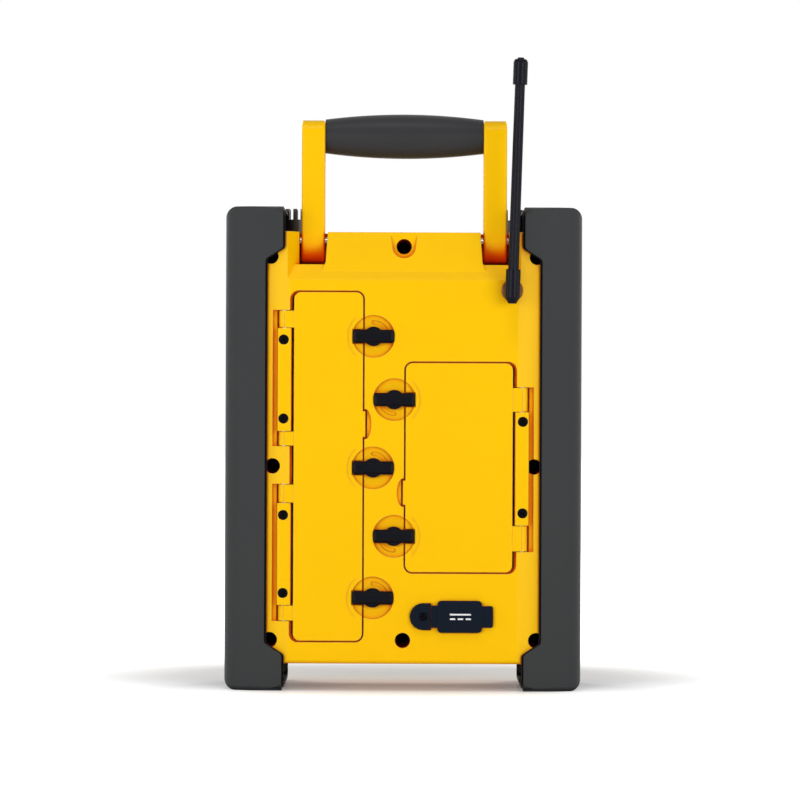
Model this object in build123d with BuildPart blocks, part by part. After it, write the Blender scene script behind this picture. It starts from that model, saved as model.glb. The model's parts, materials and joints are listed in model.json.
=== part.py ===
from build123d import *

import os
from dataclasses import dataclass
from math import cos, radians, sin

# A jobsite radio, built as the separate pieces that it is assembled from.
# Units are millimetres. +Z is up, the loudspeaker faces -Y and both doors face +Y. The origin lies on
# the surface that the radio stands on, in the middle of its width and depth.

os.makedirs("parts", exist_ok=True)

# ---------------------------------------------------------------- driving dimensions
# Overall
CASE_WIDTH = 215.0  # over the two bumpers
CASE_HEIGHT = 291.0  # bumper feet to bumper tops
CASING_DEPTH = 120.6  # yellow casing, front face to rear face
ANTENNA_STANDOFF = 9.0  # rear face to the mast's centreline
BOOT_RADIUS = 4.4
GRILLE_PROUD = 8.8  # front face to the grille's crown

# The deepest points, aerial boot and grille crown, lie equally far from the origin.
REAR_PROUD = ANTENNA_STANDOFF + BOOT_RADIUS
REAR_Y = (REAR_PROUD + CASING_DEPTH + GRILLE_PROUD) / 2 - REAR_PROUD
FRONT_Y = REAR_Y - CASING_DEPTH

# Casing shells
CASING_BOTTOM = 16.5
CASING_TOP = 276.0
SHELL_WALL = 2.8
SEAM_Y = -6.0  # joint between the two shells
SEAL_THICKNESS = 1.0
SEAL_WIDTH = 1.6
CASING_CORNER_RADIUS = 6.0
CASING_EDGE_RADIUS = 2.5

# Bumpers
BUMPER_WALL = 3.1
BUMPER_GAP = 0.3
BUMPER_LIP_X = 72.6  # inner edge of the flanges at the top and the foot
BUMPER_WAIST_X = 83.2  # inner edge of the flanges between them
BUMPER_STEP_TOP_Z = 266.0
BUMPER_STEP_BOTTOM_Z = 22.0
BUMPER_STEP_RISE = 6.6
BUMPER_STEP_RADIUS = 3.0
BUMPER_LEDGE = 1.3  # sunk edge that runs along the flanges and lies on the casing
BUMPER_LEDGE_DROP = 2.0
BUMPER_CORNER_RADIUS = 7.0
BUMPER_CROWN_RADIUS = 9.0
SHOULDER_X = 69.8  # where the corners start to fall away
SHOULDER_DROP = 15.0
SHOULDER_RADIUS = 8.0
SIDE_RADIUS = 13.0

# Handle
ARM_INNER_X = 47.9
ARM_THICKNESS = 14.1
ARM_DEPTH = 26.0
ARM_TOP_RADIUS = 9.0
ARM_EDGE_RADIUS = 1.4
ARM_TOP_Z = 343.9
PIVOT_Z = 270.6
PIVOT_SETBACK = 30.0  # rear face to the pivot
PIVOT_RADIUS = 2.5
PIVOT_INNER_X = 41.5
PIVOT_OUTER_X = 68.5
GRIP_Z = 334.4
GRIP_MID_RADIUS = 13.45
GRIP_END_RADIUS = 10.3
CORE_RADIUS = 7.0
CORE_SOCKET = 7.0
ARM_CLEARANCE = 1.2
CRADLE_CLEARANCE = 1.3

# Handle deck at the casing's rear top edge
PANEL_TOP_Z = 247.0
LEDGE_RUN = 7.5
DECK_FLARE = 6.9
DECK_FLARE_DEPTH = 12.0
BLOCK_FOOT_X = 49.6
BLOCK_WAIST_X = 47.2
BLOCK_TOP_X = 46.0
BLOCK_WAIST_Z = 257.5
BLOCK_FOOT_Z = 251.9
BLOCK_TOP_SETBACK = 14.0

# Case screws, in wells sunk from the rear
SCREW_SIDE_X = 78.6
SCREW_CORNER_X = 80.0
SCREW_TOP_Z = 261.0
SCREW_BOTTOM_Z = 30.6
SCREW_MIDDLE_Z = 135.0
SCREW_CENTRE_TOP_Z = 267.3
NOTCH_RADIUS = 7.1
NOTCH_FLARE = 1.2
WELL_RADIUS = 4.6
WELL_FLOOR_Y = 10.0
POST_RADIUS = 6.8
CASE_SCREW_RADIUS = 2.0
CASE_SCREW_LENGTH = 40.0
CASE_HEAD_RADIUS = 3.7
CASE_HEAD_HEIGHT = 2.6
CASE_SCREW_TIP_ROOM = 1.0

# Doors
DOOR_THICKNESS = SHELL_WALL
DOOR_GAP = 1.0
DOOR_CORNER_RADIUS = 4.2
COLLAR_DROP = 4.2  # rear face to the collar that frames each opening
COLLAR_WIDTH = 3.0
KNUCKLE_RADIUS = 3.4
KNUCKLE_SHY = 0.3  # knuckles lie this far below the rear face
PIN_RADIUS = 1.5
PIN_IN_BAR = 2.6
PIN_IN_WALL = 2.5
BAR_HALF_WIDTH = 4.2
BAR_THICKNESS = 6.5
BAR_EDGE_RADIUS = 1.3
GROOVE_WIDTH = 2.7
GROOVE_DEPTH = 5.6
HINGE_GAP = 2.4
HINGE_GAP_DEPTH = 3.4
BAR_SCREW_OFFSET = 0.5
BAR_SCREW_HEAD_RADIUS = 2.95
BAR_SCREW_HEAD_HEIGHT = 1.8
BAR_SCREW_RADIUS = 1.5
BAR_SCREW_LENGTH = 14.0
FINGER_TAB = 1.5
FINGER_SCOOP = 5.2
FINGER_SCOOP_DEPTH = 2.0
RUNNING = 0.06  # radial clearance of pins and shafts that turn
SEATED = 0.04  # radial clearance of pins and screws that stay put
SIDE_PLAY = 0.35

# Quarter-turn latches
LATCH_LENGTH = 24.6
LATCH_WIDTH = 8.0
LATCH_CORNER_RADIUS = 1.7
LATCH_BOSS_RADIUS = 5.85
LATCH_PROUD = 2.4
LATCH_BOSS_PROUD = 0.7
LATCH_BEVEL = 1.6
LATCH_SHAFT_RADIUS = 2.9
LATCH_BARB_RADIUS = 3.7
LATCH_SLIT = 1.2
DISH_RADIUS = 12.75
DISH_DEPTH = 2.2  # in the casing
DISH_DOOR_DEPTH = 1.6  # in the door
DISH_FLOOR_GAP = 0.3
STOP_PIN_RADIUS = 0.9
STOP_TRACK_RADIUS = 8.5
STOP_TRACK_WIDTH = 2.4
STOP_TRACK_DEPTH = 0.8
KEEPER_GAP = 0.45  # between the bar's end, the keeper block below it and the door around both

# Door seals and bays
DOOR_SEAL_WIDTH = 1.8
DOOR_SEAL_GAP = 0.2
BAY_RIM_THICKNESS = 2.0
BAY_RIM_OVERLAP = 1.2
BAY_WALL = 1.6
CELL_RADIUS = 13.1  # C-size cell
CELL_PLAY = 0.7
DEVICE_BAY_DEPTH = 20.0

# Power inlet and its cover
INLET_X = -34.7
INLET_Z = 45.0
INLET_RADIUS = 5.4
COVER_ANCHOR_X = -12.4
COVER_ANCHOR_RADIUS = 8.05
COVER_NECK_X = -17.0
COVER_THICKNESS = 2.2
COVER_LIFT = 0.3
COVER_STEP = 0.8  # neck and tongue lie this far below the flap's face
COVER_SCREW_RADIUS = 1.5
COVER_SCREW_HEAD_RADIUS = 2.5
FLAP_START_X = -20.9
FLAP_END_X = -47.6
FLAP_HEIGHT = 19.2
FLAP_RADIUS = 2.4
NECK_HEIGHT = 13.2
TONGUE_LENGTH = 6.7
TONGUE_HEIGHT = 12.9

# Aerial
ANTENNA_X = -65.0
ANTENNA_Z = 240.9
ANTENNA_LEAN = 1.8
BOOT_BELOW = 8.0
BOOT_ABOVE = 12.4
MAST_START = 4.2
MAST_END = 131.0
MAST_LOWER_RADIUS = 3.25
MAST_UPPER_RADIUS = 3.05
TIP_START = 123.0
TIP_END = 138.4
TIP_RADIUS = 4.4
NIPPLE_RADIUS = 2.0
NIPPLE_HEIGHT = 0.8
SOCKET_FLANGE_RADIUS = 6.6
SOCKET_FLANGE = 1.5
SOCKET_NECK_RADIUS = 4.9
SOCKET_LENGTH = 10.0
STUB_RADIUS = 3.0
NUT_ACROSS_CORNERS = 14.0
NUT_THICKNESS = 4.0

# Top knobs
KNOB_X = 67.0
KNOB_Y = -30.0
KNOB_RADIUS = 11.5
KNOB_HEIGHT = 16.0
KNOB_LIFT = 0.3
CROWN_TEETH = 14
CROWN_TOOTH_HEIGHT = 6.6
CROWN_WALL = 3.0
CROWN_GAP_WIDTH = 2.5
KNOB_STEM_RADIUS = 3.0
KNOB_STEM_LENGTH = 8.2
KNOB_HOLE_RADIUS = 3.6
KNOB_WELL_CLEARANCE = 1.6
POT_RADIUS = 7.6
POT_HEIGHT = 6.4

# Loudspeaker and grille
SPEAKER_Z = 106.0
SPEAKER_OPENING_RADIUS = 54.0
SPEAKER_DEPTH = 44.0
SPEAKER_FLANGE = 2.0
MAGNET_RADIUS = 32.0
MAGNET_DEPTH = 16.0
CONE_THICKNESS = 1.2
DUST_CAP_RADIUS = 14.0
RING_OUTER_RADIUS = 68.0
RING_INNER_RADIUS = 57.0
RING_PROUD = 3.6
GRILLE_RADIUS = 60.0
GRILLE_THICKNESS = 1.5
GRILLE_SLOT = 3.4
GRILLE_PITCH = 6.4
GRILLE_SCREW_CIRCLE = 63.5
GRILLE_SCREW_RADIUS = 1.5
GRILLE_SCREW_HEAD_RADIUS = 2.9
GRILLE_SCREW_LENGTH = 11.0

# Control panel
PANEL_HALF_WIDTH = 60.0
PANEL_LOW_Z = 190.0
PANEL_HIGH_Z = 262.0
PANEL_THICKNESS = 2.2
PANEL_RECESS = 1.4
PANEL_RADIUS = 8.0
WINDOW_WIDTH = 64.0
WINDOW_HEIGHT = 28.0
WINDOW_Z = 239.0
WINDOW_THICKNESS = 1.7
WINDOW_LEDGE = 2.0
BUTTON_COUNT = 5
BUTTON_PITCH = 22.0
BUTTON_WIDTH = 14.0
BUTTON_HEIGHT = 8.0
BUTTON_RADIUS = 1.5
BUTTON_Z = 206.0
BUTTON_PROUD = 1.4
BUTTON_TRAVEL = 1.2
BUTTON_FLANGE = 1.2
BUTTON_GAP = 0.25
CONTROL_BOARD_WIDTH = 116.0
CONTROL_BOARD_HEIGHT = 66.0
BOARD_THICKNESS = 1.6
BOARD_SETBACK = 12.6  # front face to the control board
BOARD_POST_RADIUS = 3.2
BOARD_SCREW_RADIUS = 1.2
BOARD_SCREW_LENGTH = 8.0
BOARD_SCREW_INSET = 4.5
MAIN_BOARD_POST = 10.0

# ---------------------------------------------------------------- worked-out places
CASING_INSET = BUMPER_WALL + BUMPER_GAP
REAR_INNER_Y = REAR_Y - SHELL_WALL
FRONT_INNER_Y = FRONT_Y + SHELL_WALL
COLLAR_Y = REAR_Y - COLLAR_DROP
HINGE_Y = COLLAR_Y
PIVOT_Y = REAR_Y - PIVOT_SETBACK
HUB_RADIUS = ARM_DEPTH / 2
CRADLE_RADIUS = HUB_RADIUS + CRADLE_CLEARANCE
LEDGE_Z = PIVOT_Z - CRADLE_RADIUS
DECK_X = ARM_INNER_X + ARM_THICKNESS + ARM_CLEARANCE
FRONT_SEAM_Y = SEAM_Y - SEAL_THICKNESS
ANTENNA_Y = REAR_Y + ANTENNA_STANDOFF
BAR_BOTTOM_Y = REAR_Y - BAR_THICKNESS
LATCH_UNDERSIDE_Y = REAR_Y - DISH_DOOR_DEPTH + DISH_FLOOR_GAP
FAR = 400.0  # reaches past everything

CASE_SCREWS = [
    (0.0, SCREW_CENTRE_TOP_Z),
    (0.0, SCREW_BOTTOM_Z),
    (SCREW_SIDE_X, SCREW_MIDDLE_Z),
    (-SCREW_SIDE_X, SCREW_MIDDLE_Z),
    (SCREW_CORNER_X, SCREW_TOP_Z),
    (-SCREW_CORNER_X, SCREW_TOP_Z),
    (SCREW_CORNER_X, SCREW_BOTTOM_Z),
    (-SCREW_CORNER_X, SCREW_BOTTOM_Z),
]


@dataclass(frozen=True)
class Door:
    """One door's places, as distances from the radio's middle towards its hinge side."""

    hand: int  # +1 where the hinge is on the +X side
    free: float
    hinge: float
    axis: float
    bottom: float
    top: float
    bars: tuple
    tabs: tuple
    bar_screws: tuple
    latch_offset: float  # free edge to the latches' centres
    latches: tuple
    finger: tuple

    def x(self, distance):
        """The X coordinate of a distance towards the hinge side."""
        return self.hand * distance

    @property
    def width(self):
        return self.hinge - self.free

    @property
    def middle(self):
        """Centre of the door in its own plane, X and Z."""
        return (self.x((self.free + self.hinge) / 2), (self.bottom + self.top) / 2)

    @property
    def latch_at(self):
        return self.free - self.latch_offset

    @property
    def keeper_end(self):
        """Inner end of the gap that the latch bar's end covers."""
        return self.latch_at + LATCH_LENGTH / 2 + KEEPER_GAP

    @property
    def seal_start(self):
        return self.keeper_end + KEEPER_GAP

    @property
    def seal_end(self):
        return self.hinge - 1.2

    @property
    def bay_start(self):
        return self.seal_start + DOOR_SEAL_WIDTH + 0.6

    @property
    def bay_end(self):
        return self.seal_end - DOOR_SEAL_WIDTH - 0.2


BATTERY_DOOR = Door(
    hand=1,
    free=24.4,
    hinge=65.8,
    axis=71.5,
    bottom=30.3,
    top=239.4,
    bars=((156.0, 217.8), (51.6, 112.8)),
    tabs=((147.3, 155.7), (218.1, 228.3), (42.3, 51.3), (113.1, 123.9)),
    bar_screws=(210.9, 163.5, 105.6, 58.8),
    latch_offset=6.3,
    latches=(213.0, 134.1, 56.1),
    finger=(152.7, 168.0),
)
DEVICE_DOOR = Door(
    hand=-1,
    free=1.4,
    hinge=65.6,
    axis=71.2,
    bottom=71.7,
    top=197.1,
    bars=((99.8, 167.8),),
    tabs=((168.1, 182.4), (84.3, 99.5)),
    bar_screws=(162.1, 107.2),
    latch_offset=6.9,
    latches=(175.1, 93.1),
    finger=(112.1, 126.5),
)
DOORS = {"battery": BATTERY_DOOR, "device": DEVICE_DOOR}


# ---------------------------------------------------------------- shared shapes
def across(y):
    """Sketch plane at depth y, with X to the right and Z up; extruding goes towards -Y."""
    return Plane.XZ.offset(-y)


def along(x):
    """Sketch plane at width x, with Y to the right and Z up; extruding goes towards +X."""
    return Plane.YZ.offset(x)


def block(x, y, z, mode=Mode.ADD):
    """A square-edged block between three pairs of limits."""
    sizes = [abs(pair[1] - pair[0]) for pair in (x, y, z)]
    centre = tuple((pair[0] + pair[1]) / 2 for pair in (x, y, z))
    with Locations(centre):
        Box(*sizes, mode=mode)


AXIS_TURN = {"X": (0, 90, 0), "Y": (90, 0, 0), "Z": (0, 0, 0)}


def rod(axis, start, end, at, radius, mode=Mode.ADD):
    """A round bar along one axis; at gives its other two coordinates."""
    centre = list(at)
    centre.insert("XYZ".index(axis), (start + end) / 2)
    with Locations(Location(tuple(centre), AXIS_TURN[axis])):
        Cylinder(radius, abs(end - start), mode=mode)


def finish(builder, name):
    """Labels a finished piece and writes it."""
    builder.part.label = name
    export_step(builder.part, f"parts/{name}.step")


def casing_plan(inset):
    """The casing's outline seen from above, moved inwards by inset from the bumpers' faces."""
    half = CASE_WIDTH / 2
    rear = REAR_Y + CASING_INSET
    front = FRONT_Y - CASING_INSET
    quarter = [(SHOULDER_X, rear), (half, rear - SHOULDER_DROP)]
    lower = [(half, front + SHOULDER_DROP), (SHOULDER_X, front)]
    right = quarter + lower
    left = [(-x, y) for x, y in reversed(right)]
    radii = [SHOULDER_RADIUS, SIDE_RADIUS, SIDE_RADIUS, SHOULDER_RADIUS]
    with BuildSketch() as outline:
        with BuildLine():
            FilletPolyline(*right, *left, radius=radii + radii, close=True)
        make_face()
        if inset > 0:
            offset(amount=-inset, mode=Mode.REPLACE)
    return outline.sketch


def case_body(inset, low, high, corner_radius, crown_radius):
    """A closed body of the casing's outline, rounded in the front view and in the side view."""
    rear = REAR_Y + CASING_INSET - inset
    front = FRONT_Y - CASING_INSET + inset
    middle_z = (low + high) / 2
    with BuildPart() as body:
        with BuildSketch(Plane.XY.offset(low)):
            add(casing_plan(inset))
        extrude(amount=high - low)
        with BuildSketch(across(FAR)):
            with Locations((0, middle_z)):
                RectangleRounded(CASE_WIDTH - 2 * inset, high - low, corner_radius)
        extrude(amount=2 * FAR, mode=Mode.INTERSECT)
        with BuildSketch(along(-FAR)):
            with Locations(((rear + front) / 2, middle_z)):
                RectangleRounded(rear - front, high - low, crown_radius)
        extrude(amount=2 * FAR, mode=Mode.INTERSECT)
    return body.part


def deck_space(grow):
    """The open space around the handle's arms and above the ledge, grown by a wall."""
    ledge_y = REAR_Y - LEDGE_RUN
    top = CASING_TOP + 20.0
    with BuildPart() as space:
        with BuildSketch(along(-FAR)):
            with BuildLine():
                Line((PIVOT_Y - CRADLE_RADIUS, top), (PIVOT_Y - CRADLE_RADIUS, PIVOT_Z))
                CenterArc((PIVOT_Y, PIVOT_Z), CRADLE_RADIUS, 180, 90)
                Polyline(
                    (PIVOT_Y, LEDGE_Z),
                    (ledge_y, LEDGE_Z),
                    (REAR_Y, PANEL_TOP_Z),
                    (REAR_Y + 20.0, PANEL_TOP_Z),
                    (REAR_Y + 20.0, top),
                    (PIVOT_Y - CRADLE_RADIUS, top),
                )
            make_face()
            if grow > 0:
                offset(amount=grow, kind=Kind.INTERSECTION, mode=Mode.REPLACE)
        extrude(amount=2 * FAR)
        right = [
            (DECK_X, 0.0),
            (DECK_X, REAR_Y - DECK_FLARE_DEPTH),
            (DECK_X + DECK_FLARE, REAR_Y),
            (DECK_X + DECK_FLARE, REAR_Y + 20.0),
        ]
        with BuildSketch(Plane.XY):
            with BuildLine():
                Polyline(*right, *[(-x, y) for x, y in reversed(right)], close=True)
            make_face()
            if grow > 0:
                offset(amount=grow, kind=Kind.INTERSECTION, mode=Mode.REPLACE)
        extrude(amount=FAR, mode=Mode.INTERSECT)
    return space.part


def centre_block(inset):
    """The wedge between the handle's arms, moved inwards by inset."""
    foot_y = REAR_Y - LEDGE_RUN * (BLOCK_FOOT_Z - PANEL_TOP_Z) / (LEDGE_Z - PANEL_TOP_Z)
    low = PANEL_TOP_Z - 10.0
    with BuildPart() as wedge:
        with BuildSketch(along(-FAR)):
            with BuildLine():
                Polyline(
                    (SEAM_Y - 20.0, low),
                    (REAR_Y, low),
                    (REAR_Y, PANEL_TOP_Z),
                    (foot_y, BLOCK_FOOT_Z),
                    (REAR_Y - BLOCK_TOP_SETBACK, CASING_TOP),
                    (SEAM_Y - 20.0, CASING_TOP),
                    close=True,
                )
            make_face()
            if inset > 0:
                offset(amount=-inset, kind=Kind.INTERSECTION, mode=Mode.REPLACE)
        extrude(amount=2 * FAR)
        right = [
            (BLOCK_FOOT_X, low),
            (BLOCK_FOOT_X, BLOCK_FOOT_Z),
            (BLOCK_WAIST_X, BLOCK_WAIST_Z),
            (BLOCK_TOP_X, CASING_TOP),
        ]
        with BuildSketch(across(FAR)):
            with BuildLine():
                Polyline(*right, *[(-x, z) for x, z in reversed(right)], close=True)
            make_face()
            if inset > 0:
                offset(amount=-inset, kind=Kind.INTERSECTION, mode=Mode.REPLACE)
        extrude(amount=2 * FAR, mode=Mode.INTERSECT)
    return wedge.part


def door_outline(door, grow):
    """The door's rounded outline in the current sketch, grown all round."""
    with Locations(door.middle):
        RectangleRounded(
            door.width + 2 * grow, door.top - door.bottom + 2 * grow, DOOR_CORNER_RADIUS + grow
        )


# ---------------------------------------------------------------- casing shells
handle_deck = deck_space(0.0)
deck_keepout = deck_space(SHELL_WALL)
wedge_outside = centre_block(0.0)
wedge_inside = centre_block(SHELL_WALL)
casing_outside = case_body(
    CASING_INSET, CASING_BOTTOM, CASING_TOP, CASING_CORNER_RADIUS, CASING_EDGE_RADIUS
)
casing_inside = case_body(
    CASING_INSET + SHELL_WALL,
    CASING_BOTTOM + SHELL_WALL,
    CASING_TOP - SHELL_WALL,
    CASING_CORNER_RADIUS - SHELL_WALL,
    CASING_EDGE_RADIUS,
)

with BuildPart() as rear_cavity:
    add(casing_inside)
    add(deck_keepout, mode=Mode.SUBTRACT)
    add(wedge_inside)
    # solid around the notch above the top screw
    block(
        (-NOTCH_RADIUS - SHELL_WALL, NOTCH_RADIUS + SHELL_WALL),
        (REAR_Y - BLOCK_TOP_SETBACK - SHELL_WALL, FAR),
        (SCREW_CENTRE_TOP_Z - NOTCH_RADIUS - SHELL_WALL, FAR),
        mode=Mode.SUBTRACT,
    )

with BuildPart() as deck_cut:
    add(handle_deck)
    add(wedge_outside, mode=Mode.SUBTRACT)

with BuildPart() as rear_housing:
    add(casing_outside)
    add(deck_cut.part, mode=Mode.SUBTRACT)
    add(rear_cavity.part, mode=Mode.SUBTRACT)
    # posts around the screw wells
    for x, z in CASE_SCREWS:
        post_top = REAR_INNER_Y if z != SCREW_CENTRE_TOP_Z else REAR_Y - BLOCK_TOP_SETBACK
        rod("Y", SEAM_Y, post_top, (x, z), POST_RADIUS)
    # bosses for the handle pivots, inside the wedge and inside the shoulders
    for side in (1, -1):
        rod("X", side * (PIVOT_INNER_X - 1.0), side * BLOCK_TOP_X, (PIVOT_Y, PIVOT_Z), 5.2)
        rod("X", side * DECK_X, side * (PIVOT_OUTER_X + 1.0), (PIVOT_Y, PIVOT_Z), 5.2)
    # flat seat for the aerial's nut
    rod("Y", COLLAR_Y, REAR_INNER_Y + 0.5, (ANTENNA_X, ANTENNA_Z), NUT_ACROSS_CORNERS / 2 + 2.0)
    for door in DOORS.values():
        # collar around the opening
        with BuildSketch(across(REAR_INNER_Y + 0.5)):
            door_outline(door, DOOR_GAP + COLLAR_WIDTH)
        extrude(amount=REAR_INNER_Y + 0.5 - COLLAR_Y)
        # floor under each latch dish
        for z in door.latches:
            rod("Y", COLLAR_Y, REAR_INNER_Y + 0.5, (door.x(door.latch_at), z), DISH_RADIUS + 1.2)
        # floor under the finger scoop
        with BuildSketch(across(REAR_INNER_Y + 0.5)):
            with Locations((door.x(door.free - FINGER_SCOOP / 2), sum(door.finger) / 2)):
                Rectangle(FINGER_SCOOP + 4.0, door.finger[1] - door.finger[0] + 6.0)
        extrude(amount=REAR_INNER_Y + 0.5 - COLLAR_Y)
        # backing of the hinges
        for bar_low, bar_high in door.bars:
            near = [tab for tab in door.tabs if abs(tab[1] - bar_low) < 1.0 or abs(tab[0] - bar_high) < 1.0]
            low = min(tab[0] for tab in near) - PIN_IN_WALL - 2.0
            high = max(tab[1] for tab in near) + PIN_IN_WALL + 2.0
            block(
                (door.x(door.hinge + DOOR_GAP), door.x(door.axis + BAR_HALF_WIDTH + GROOVE_WIDTH)),
                (HINGE_Y - KNUCKLE_RADIUS - 2.4, REAR_INNER_Y + 0.5),
                (low, high),
            )
        for z in door.bar_screws:
            rod(
                "Y",
                BAR_BOTTOM_Y - BAR_SCREW_LENGTH + 4.0,
                BAR_BOTTOM_Y,
                (door.x(door.axis + BAR_SCREW_OFFSET), z),
                3.6,
            )

    # nothing stands out of the sloping corners
    add(casing_outside, mode=Mode.INTERSECT)
    # screw wells and their clearance holes
    for x, z in CASE_SCREWS:
        rod("Y", WELL_FLOOR_Y, FAR, (x, z), WELL_RADIUS, mode=Mode.SUBTRACT)
        rod("Y", SEAM_Y - 1.0, WELL_FLOOR_Y, (x, z), CASE_SCREW_RADIUS + 0.3, mode=Mode.SUBTRACT)
    # notch in the wedge above the top screw
    with BuildSketch(across(REAR_Y)):
        with Locations((0, SCREW_CENTRE_TOP_Z)):
            Circle(NOTCH_RADIUS)
        with BuildLine():
            Polyline(
                (-NOTCH_RADIUS, SCREW_CENTRE_TOP_Z),
                (NOTCH_RADIUS, SCREW_CENTRE_TOP_Z),
                (NOTCH_RADIUS + NOTCH_FLARE, CASING_TOP + 1.0),
                (-NOTCH_RADIUS - NOTCH_FLARE, CASING_TOP + 1.0),
                close=True,
            )
        make_face()
    extrude(amount=BLOCK_TOP_SETBACK - 0.6, mode=Mode.SUBTRACT)
    # handle pivot bores
    rod("X", -PIVOT_OUTER_X, PIVOT_OUTER_X, (PIVOT_Y, PIVOT_Z), PIVOT_RADIUS + SEATED, mode=Mode.SUBTRACT)
    for door in DOORS.values():
        # the opening
        with BuildSketch(across(REAR_Y + 1.0)):
            door_outline(door, DOOR_GAP)
        extrude(amount=COLLAR_DROP + 1.0, mode=Mode.SUBTRACT)
        latch_x = door.x(door.latch_at)
        for z in door.latches:
            # dish, shaft hole and the quarter track that stops the latch
            rod("Y", REAR_Y - DISH_DEPTH, FAR, (latch_x, z), DISH_RADIUS, mode=Mode.SUBTRACT)
            rod("Y", COLLAR_Y - 1.0, REAR_Y, (latch_x, z), LATCH_SHAFT_RADIUS + RUNNING, mode=Mode.SUBTRACT)
            track_start = 90 if door.hand > 0 else -90
            with BuildSketch(across(REAR_Y - DISH_DEPTH + 0.2)):
                with BuildLine(mode=Mode.PRIVATE) as track:
                    CenterArc((latch_x, z), STOP_TRACK_RADIUS, track_start, 90)
                SlotArc(track.wires()[0], STOP_TRACK_WIDTH)
            extrude(amount=STOP_TRACK_DEPTH + 0.2, mode=Mode.SUBTRACT)
        # finger scoop
        with BuildSketch(across(REAR_Y)):
            with Locations((door.x(door.free - FINGER_TAB), sum(door.finger) / 2)):
                Ellipse(FINGER_SCOOP - FINGER_TAB, (door.finger[1] - door.finger[0]) / 2 + 1.4)
        extrude(amount=FINGER_SCOOP_DEPTH, mode=Mode.SUBTRACT)
        block(
            (door.x(door.free - FINGER_TAB - DOOR_GAP), door.x(door.free)),
            (COLLAR_Y, REAR_Y),
            (door.finger[0] - DOOR_GAP, door.finger[1] + DOOR_GAP),
            mode=Mode.SUBTRACT,
        )
        # wider gap along the hinge side, so that the door's edge clears it as it swings
        with BuildSketch(across(REAR_Y + 1.0)):
            with Locations((door.x(HINGE_GAP - DOOR_GAP), 0)):
                door_outline(door, DOOR_GAP)
        extrude(amount=HINGE_GAP_DEPTH + 1.0, mode=Mode.SUBTRACT)
        # channels for the hinge bars, pockets for the knuckles and the groove beside each bar
        outer = door.axis + BAR_HALF_WIDTH + 0.2
        for low, high in door.bars:
            block(
                (door.x(door.hinge), door.x(outer)),
                (BAR_BOTTOM_Y, REAR_Y),
                (low - SIDE_PLAY, high + SIDE_PLAY),
                mode=Mode.SUBTRACT,
            )
            block(
                (door.x(outer), door.x(outer + GROOVE_WIDTH)),
                (REAR_Y - GROOVE_DEPTH, REAR_Y),
                (low, high),
                mode=Mode.SUBTRACT,
            )
        for low, high in door.tabs:
            block(
                (door.x(door.hinge), door.x(outer)),
                (HINGE_Y - KNUCKLE_RADIUS - 0.4, REAR_Y),
                (low - SIDE_PLAY, high + SIDE_PLAY),
                mode=Mode.SUBTRACT,
            )
            block(
                (door.x(outer), door.x(outer + GROOVE_WIDTH)),
                (REAR_Y - GROOVE_DEPTH, REAR_Y),
                (low - SIDE_PLAY, high + SIDE_PLAY),
                mode=Mode.SUBTRACT,
            )
            rod(
                "Z",
                low - PIN_IN_WALL,
                high + PIN_IN_WALL,
                (door.x(door.axis), HINGE_Y),
                PIN_RADIUS + SEATED,
                mode=Mode.SUBTRACT,
            )
        for z in door.bar_screws:
            rod(
                "Y",
                BAR_BOTTOM_Y - BAR_SCREW_LENGTH + BAR_THICKNESS - 0.5,
                BAR_BOTTOM_Y,
                (door.x(door.axis + BAR_SCREW_OFFSET), z),
                BAR_SCREW_RADIUS + SEATED,
                mode=Mode.SUBTRACT,
            )
    # room for the aerial's nut
    rod(
        "Y",
        COLLAR_Y - NUT_THICKNESS - 1.0,
        COLLAR_Y,
        (ANTENNA_X, ANTENNA_Z),
        NUT_ACROSS_CORNERS / 2 + 0.3,
        mode=Mode.SUBTRACT,
    )
    # aerial socket, power inlet and cover screw
    for start, at, radius in (
        (COLLAR_Y - 1.0, (ANTENNA_X, ANTENNA_Z), SOCKET_NECK_RADIUS),
        (COLLAR_Y, (INLET_X, INLET_Z), INLET_RADIUS),
        (COLLAR_Y, (COVER_ANCHOR_X, INLET_Z), COVER_SCREW_RADIUS),
    ):
        rod("Y", start, REAR_Y, at, radius + SEATED, mode=Mode.SUBTRACT)
    # only the half behind the seam
    block((-FAR, FAR), (SEAM_Y, FAR), (0, FAR), mode=Mode.INTERSECT)
finish(rear_housing, "rear_housing")

speaker_holes = [
    (GRILLE_SCREW_CIRCLE * cos(radians(a)), SPEAKER_Z + GRILLE_SCREW_CIRCLE * sin(radians(a)))
    for a in (45, 135, 225, 315)
]
board_holes = [
    (sx * (CONTROL_BOARD_WIDTH / 2 - BOARD_SCREW_INSET), (PANEL_LOW_Z + PANEL_HIGH_Z) / 2
     + sz * (CONTROL_BOARD_HEIGHT / 2 - BOARD_SCREW_INSET))
    for sx in (1, -1)
    for sz in (1, -1)
]
button_places = [
    ((i - (BUTTON_COUNT - 1) / 2) * BUTTON_PITCH, BUTTON_Z) for i in range(BUTTON_COUNT)
]
BOARD_Y = FRONT_Y + BOARD_SETBACK
PANEL_MIDDLE_Z = (PANEL_LOW_Z + PANEL_HIGH_Z) / 2
PANEL_SEAT_Y = FRONT_Y + PANEL_RECESS
KNOB_SEAT_Z = CASING_TOP + KNOB_LIFT

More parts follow.
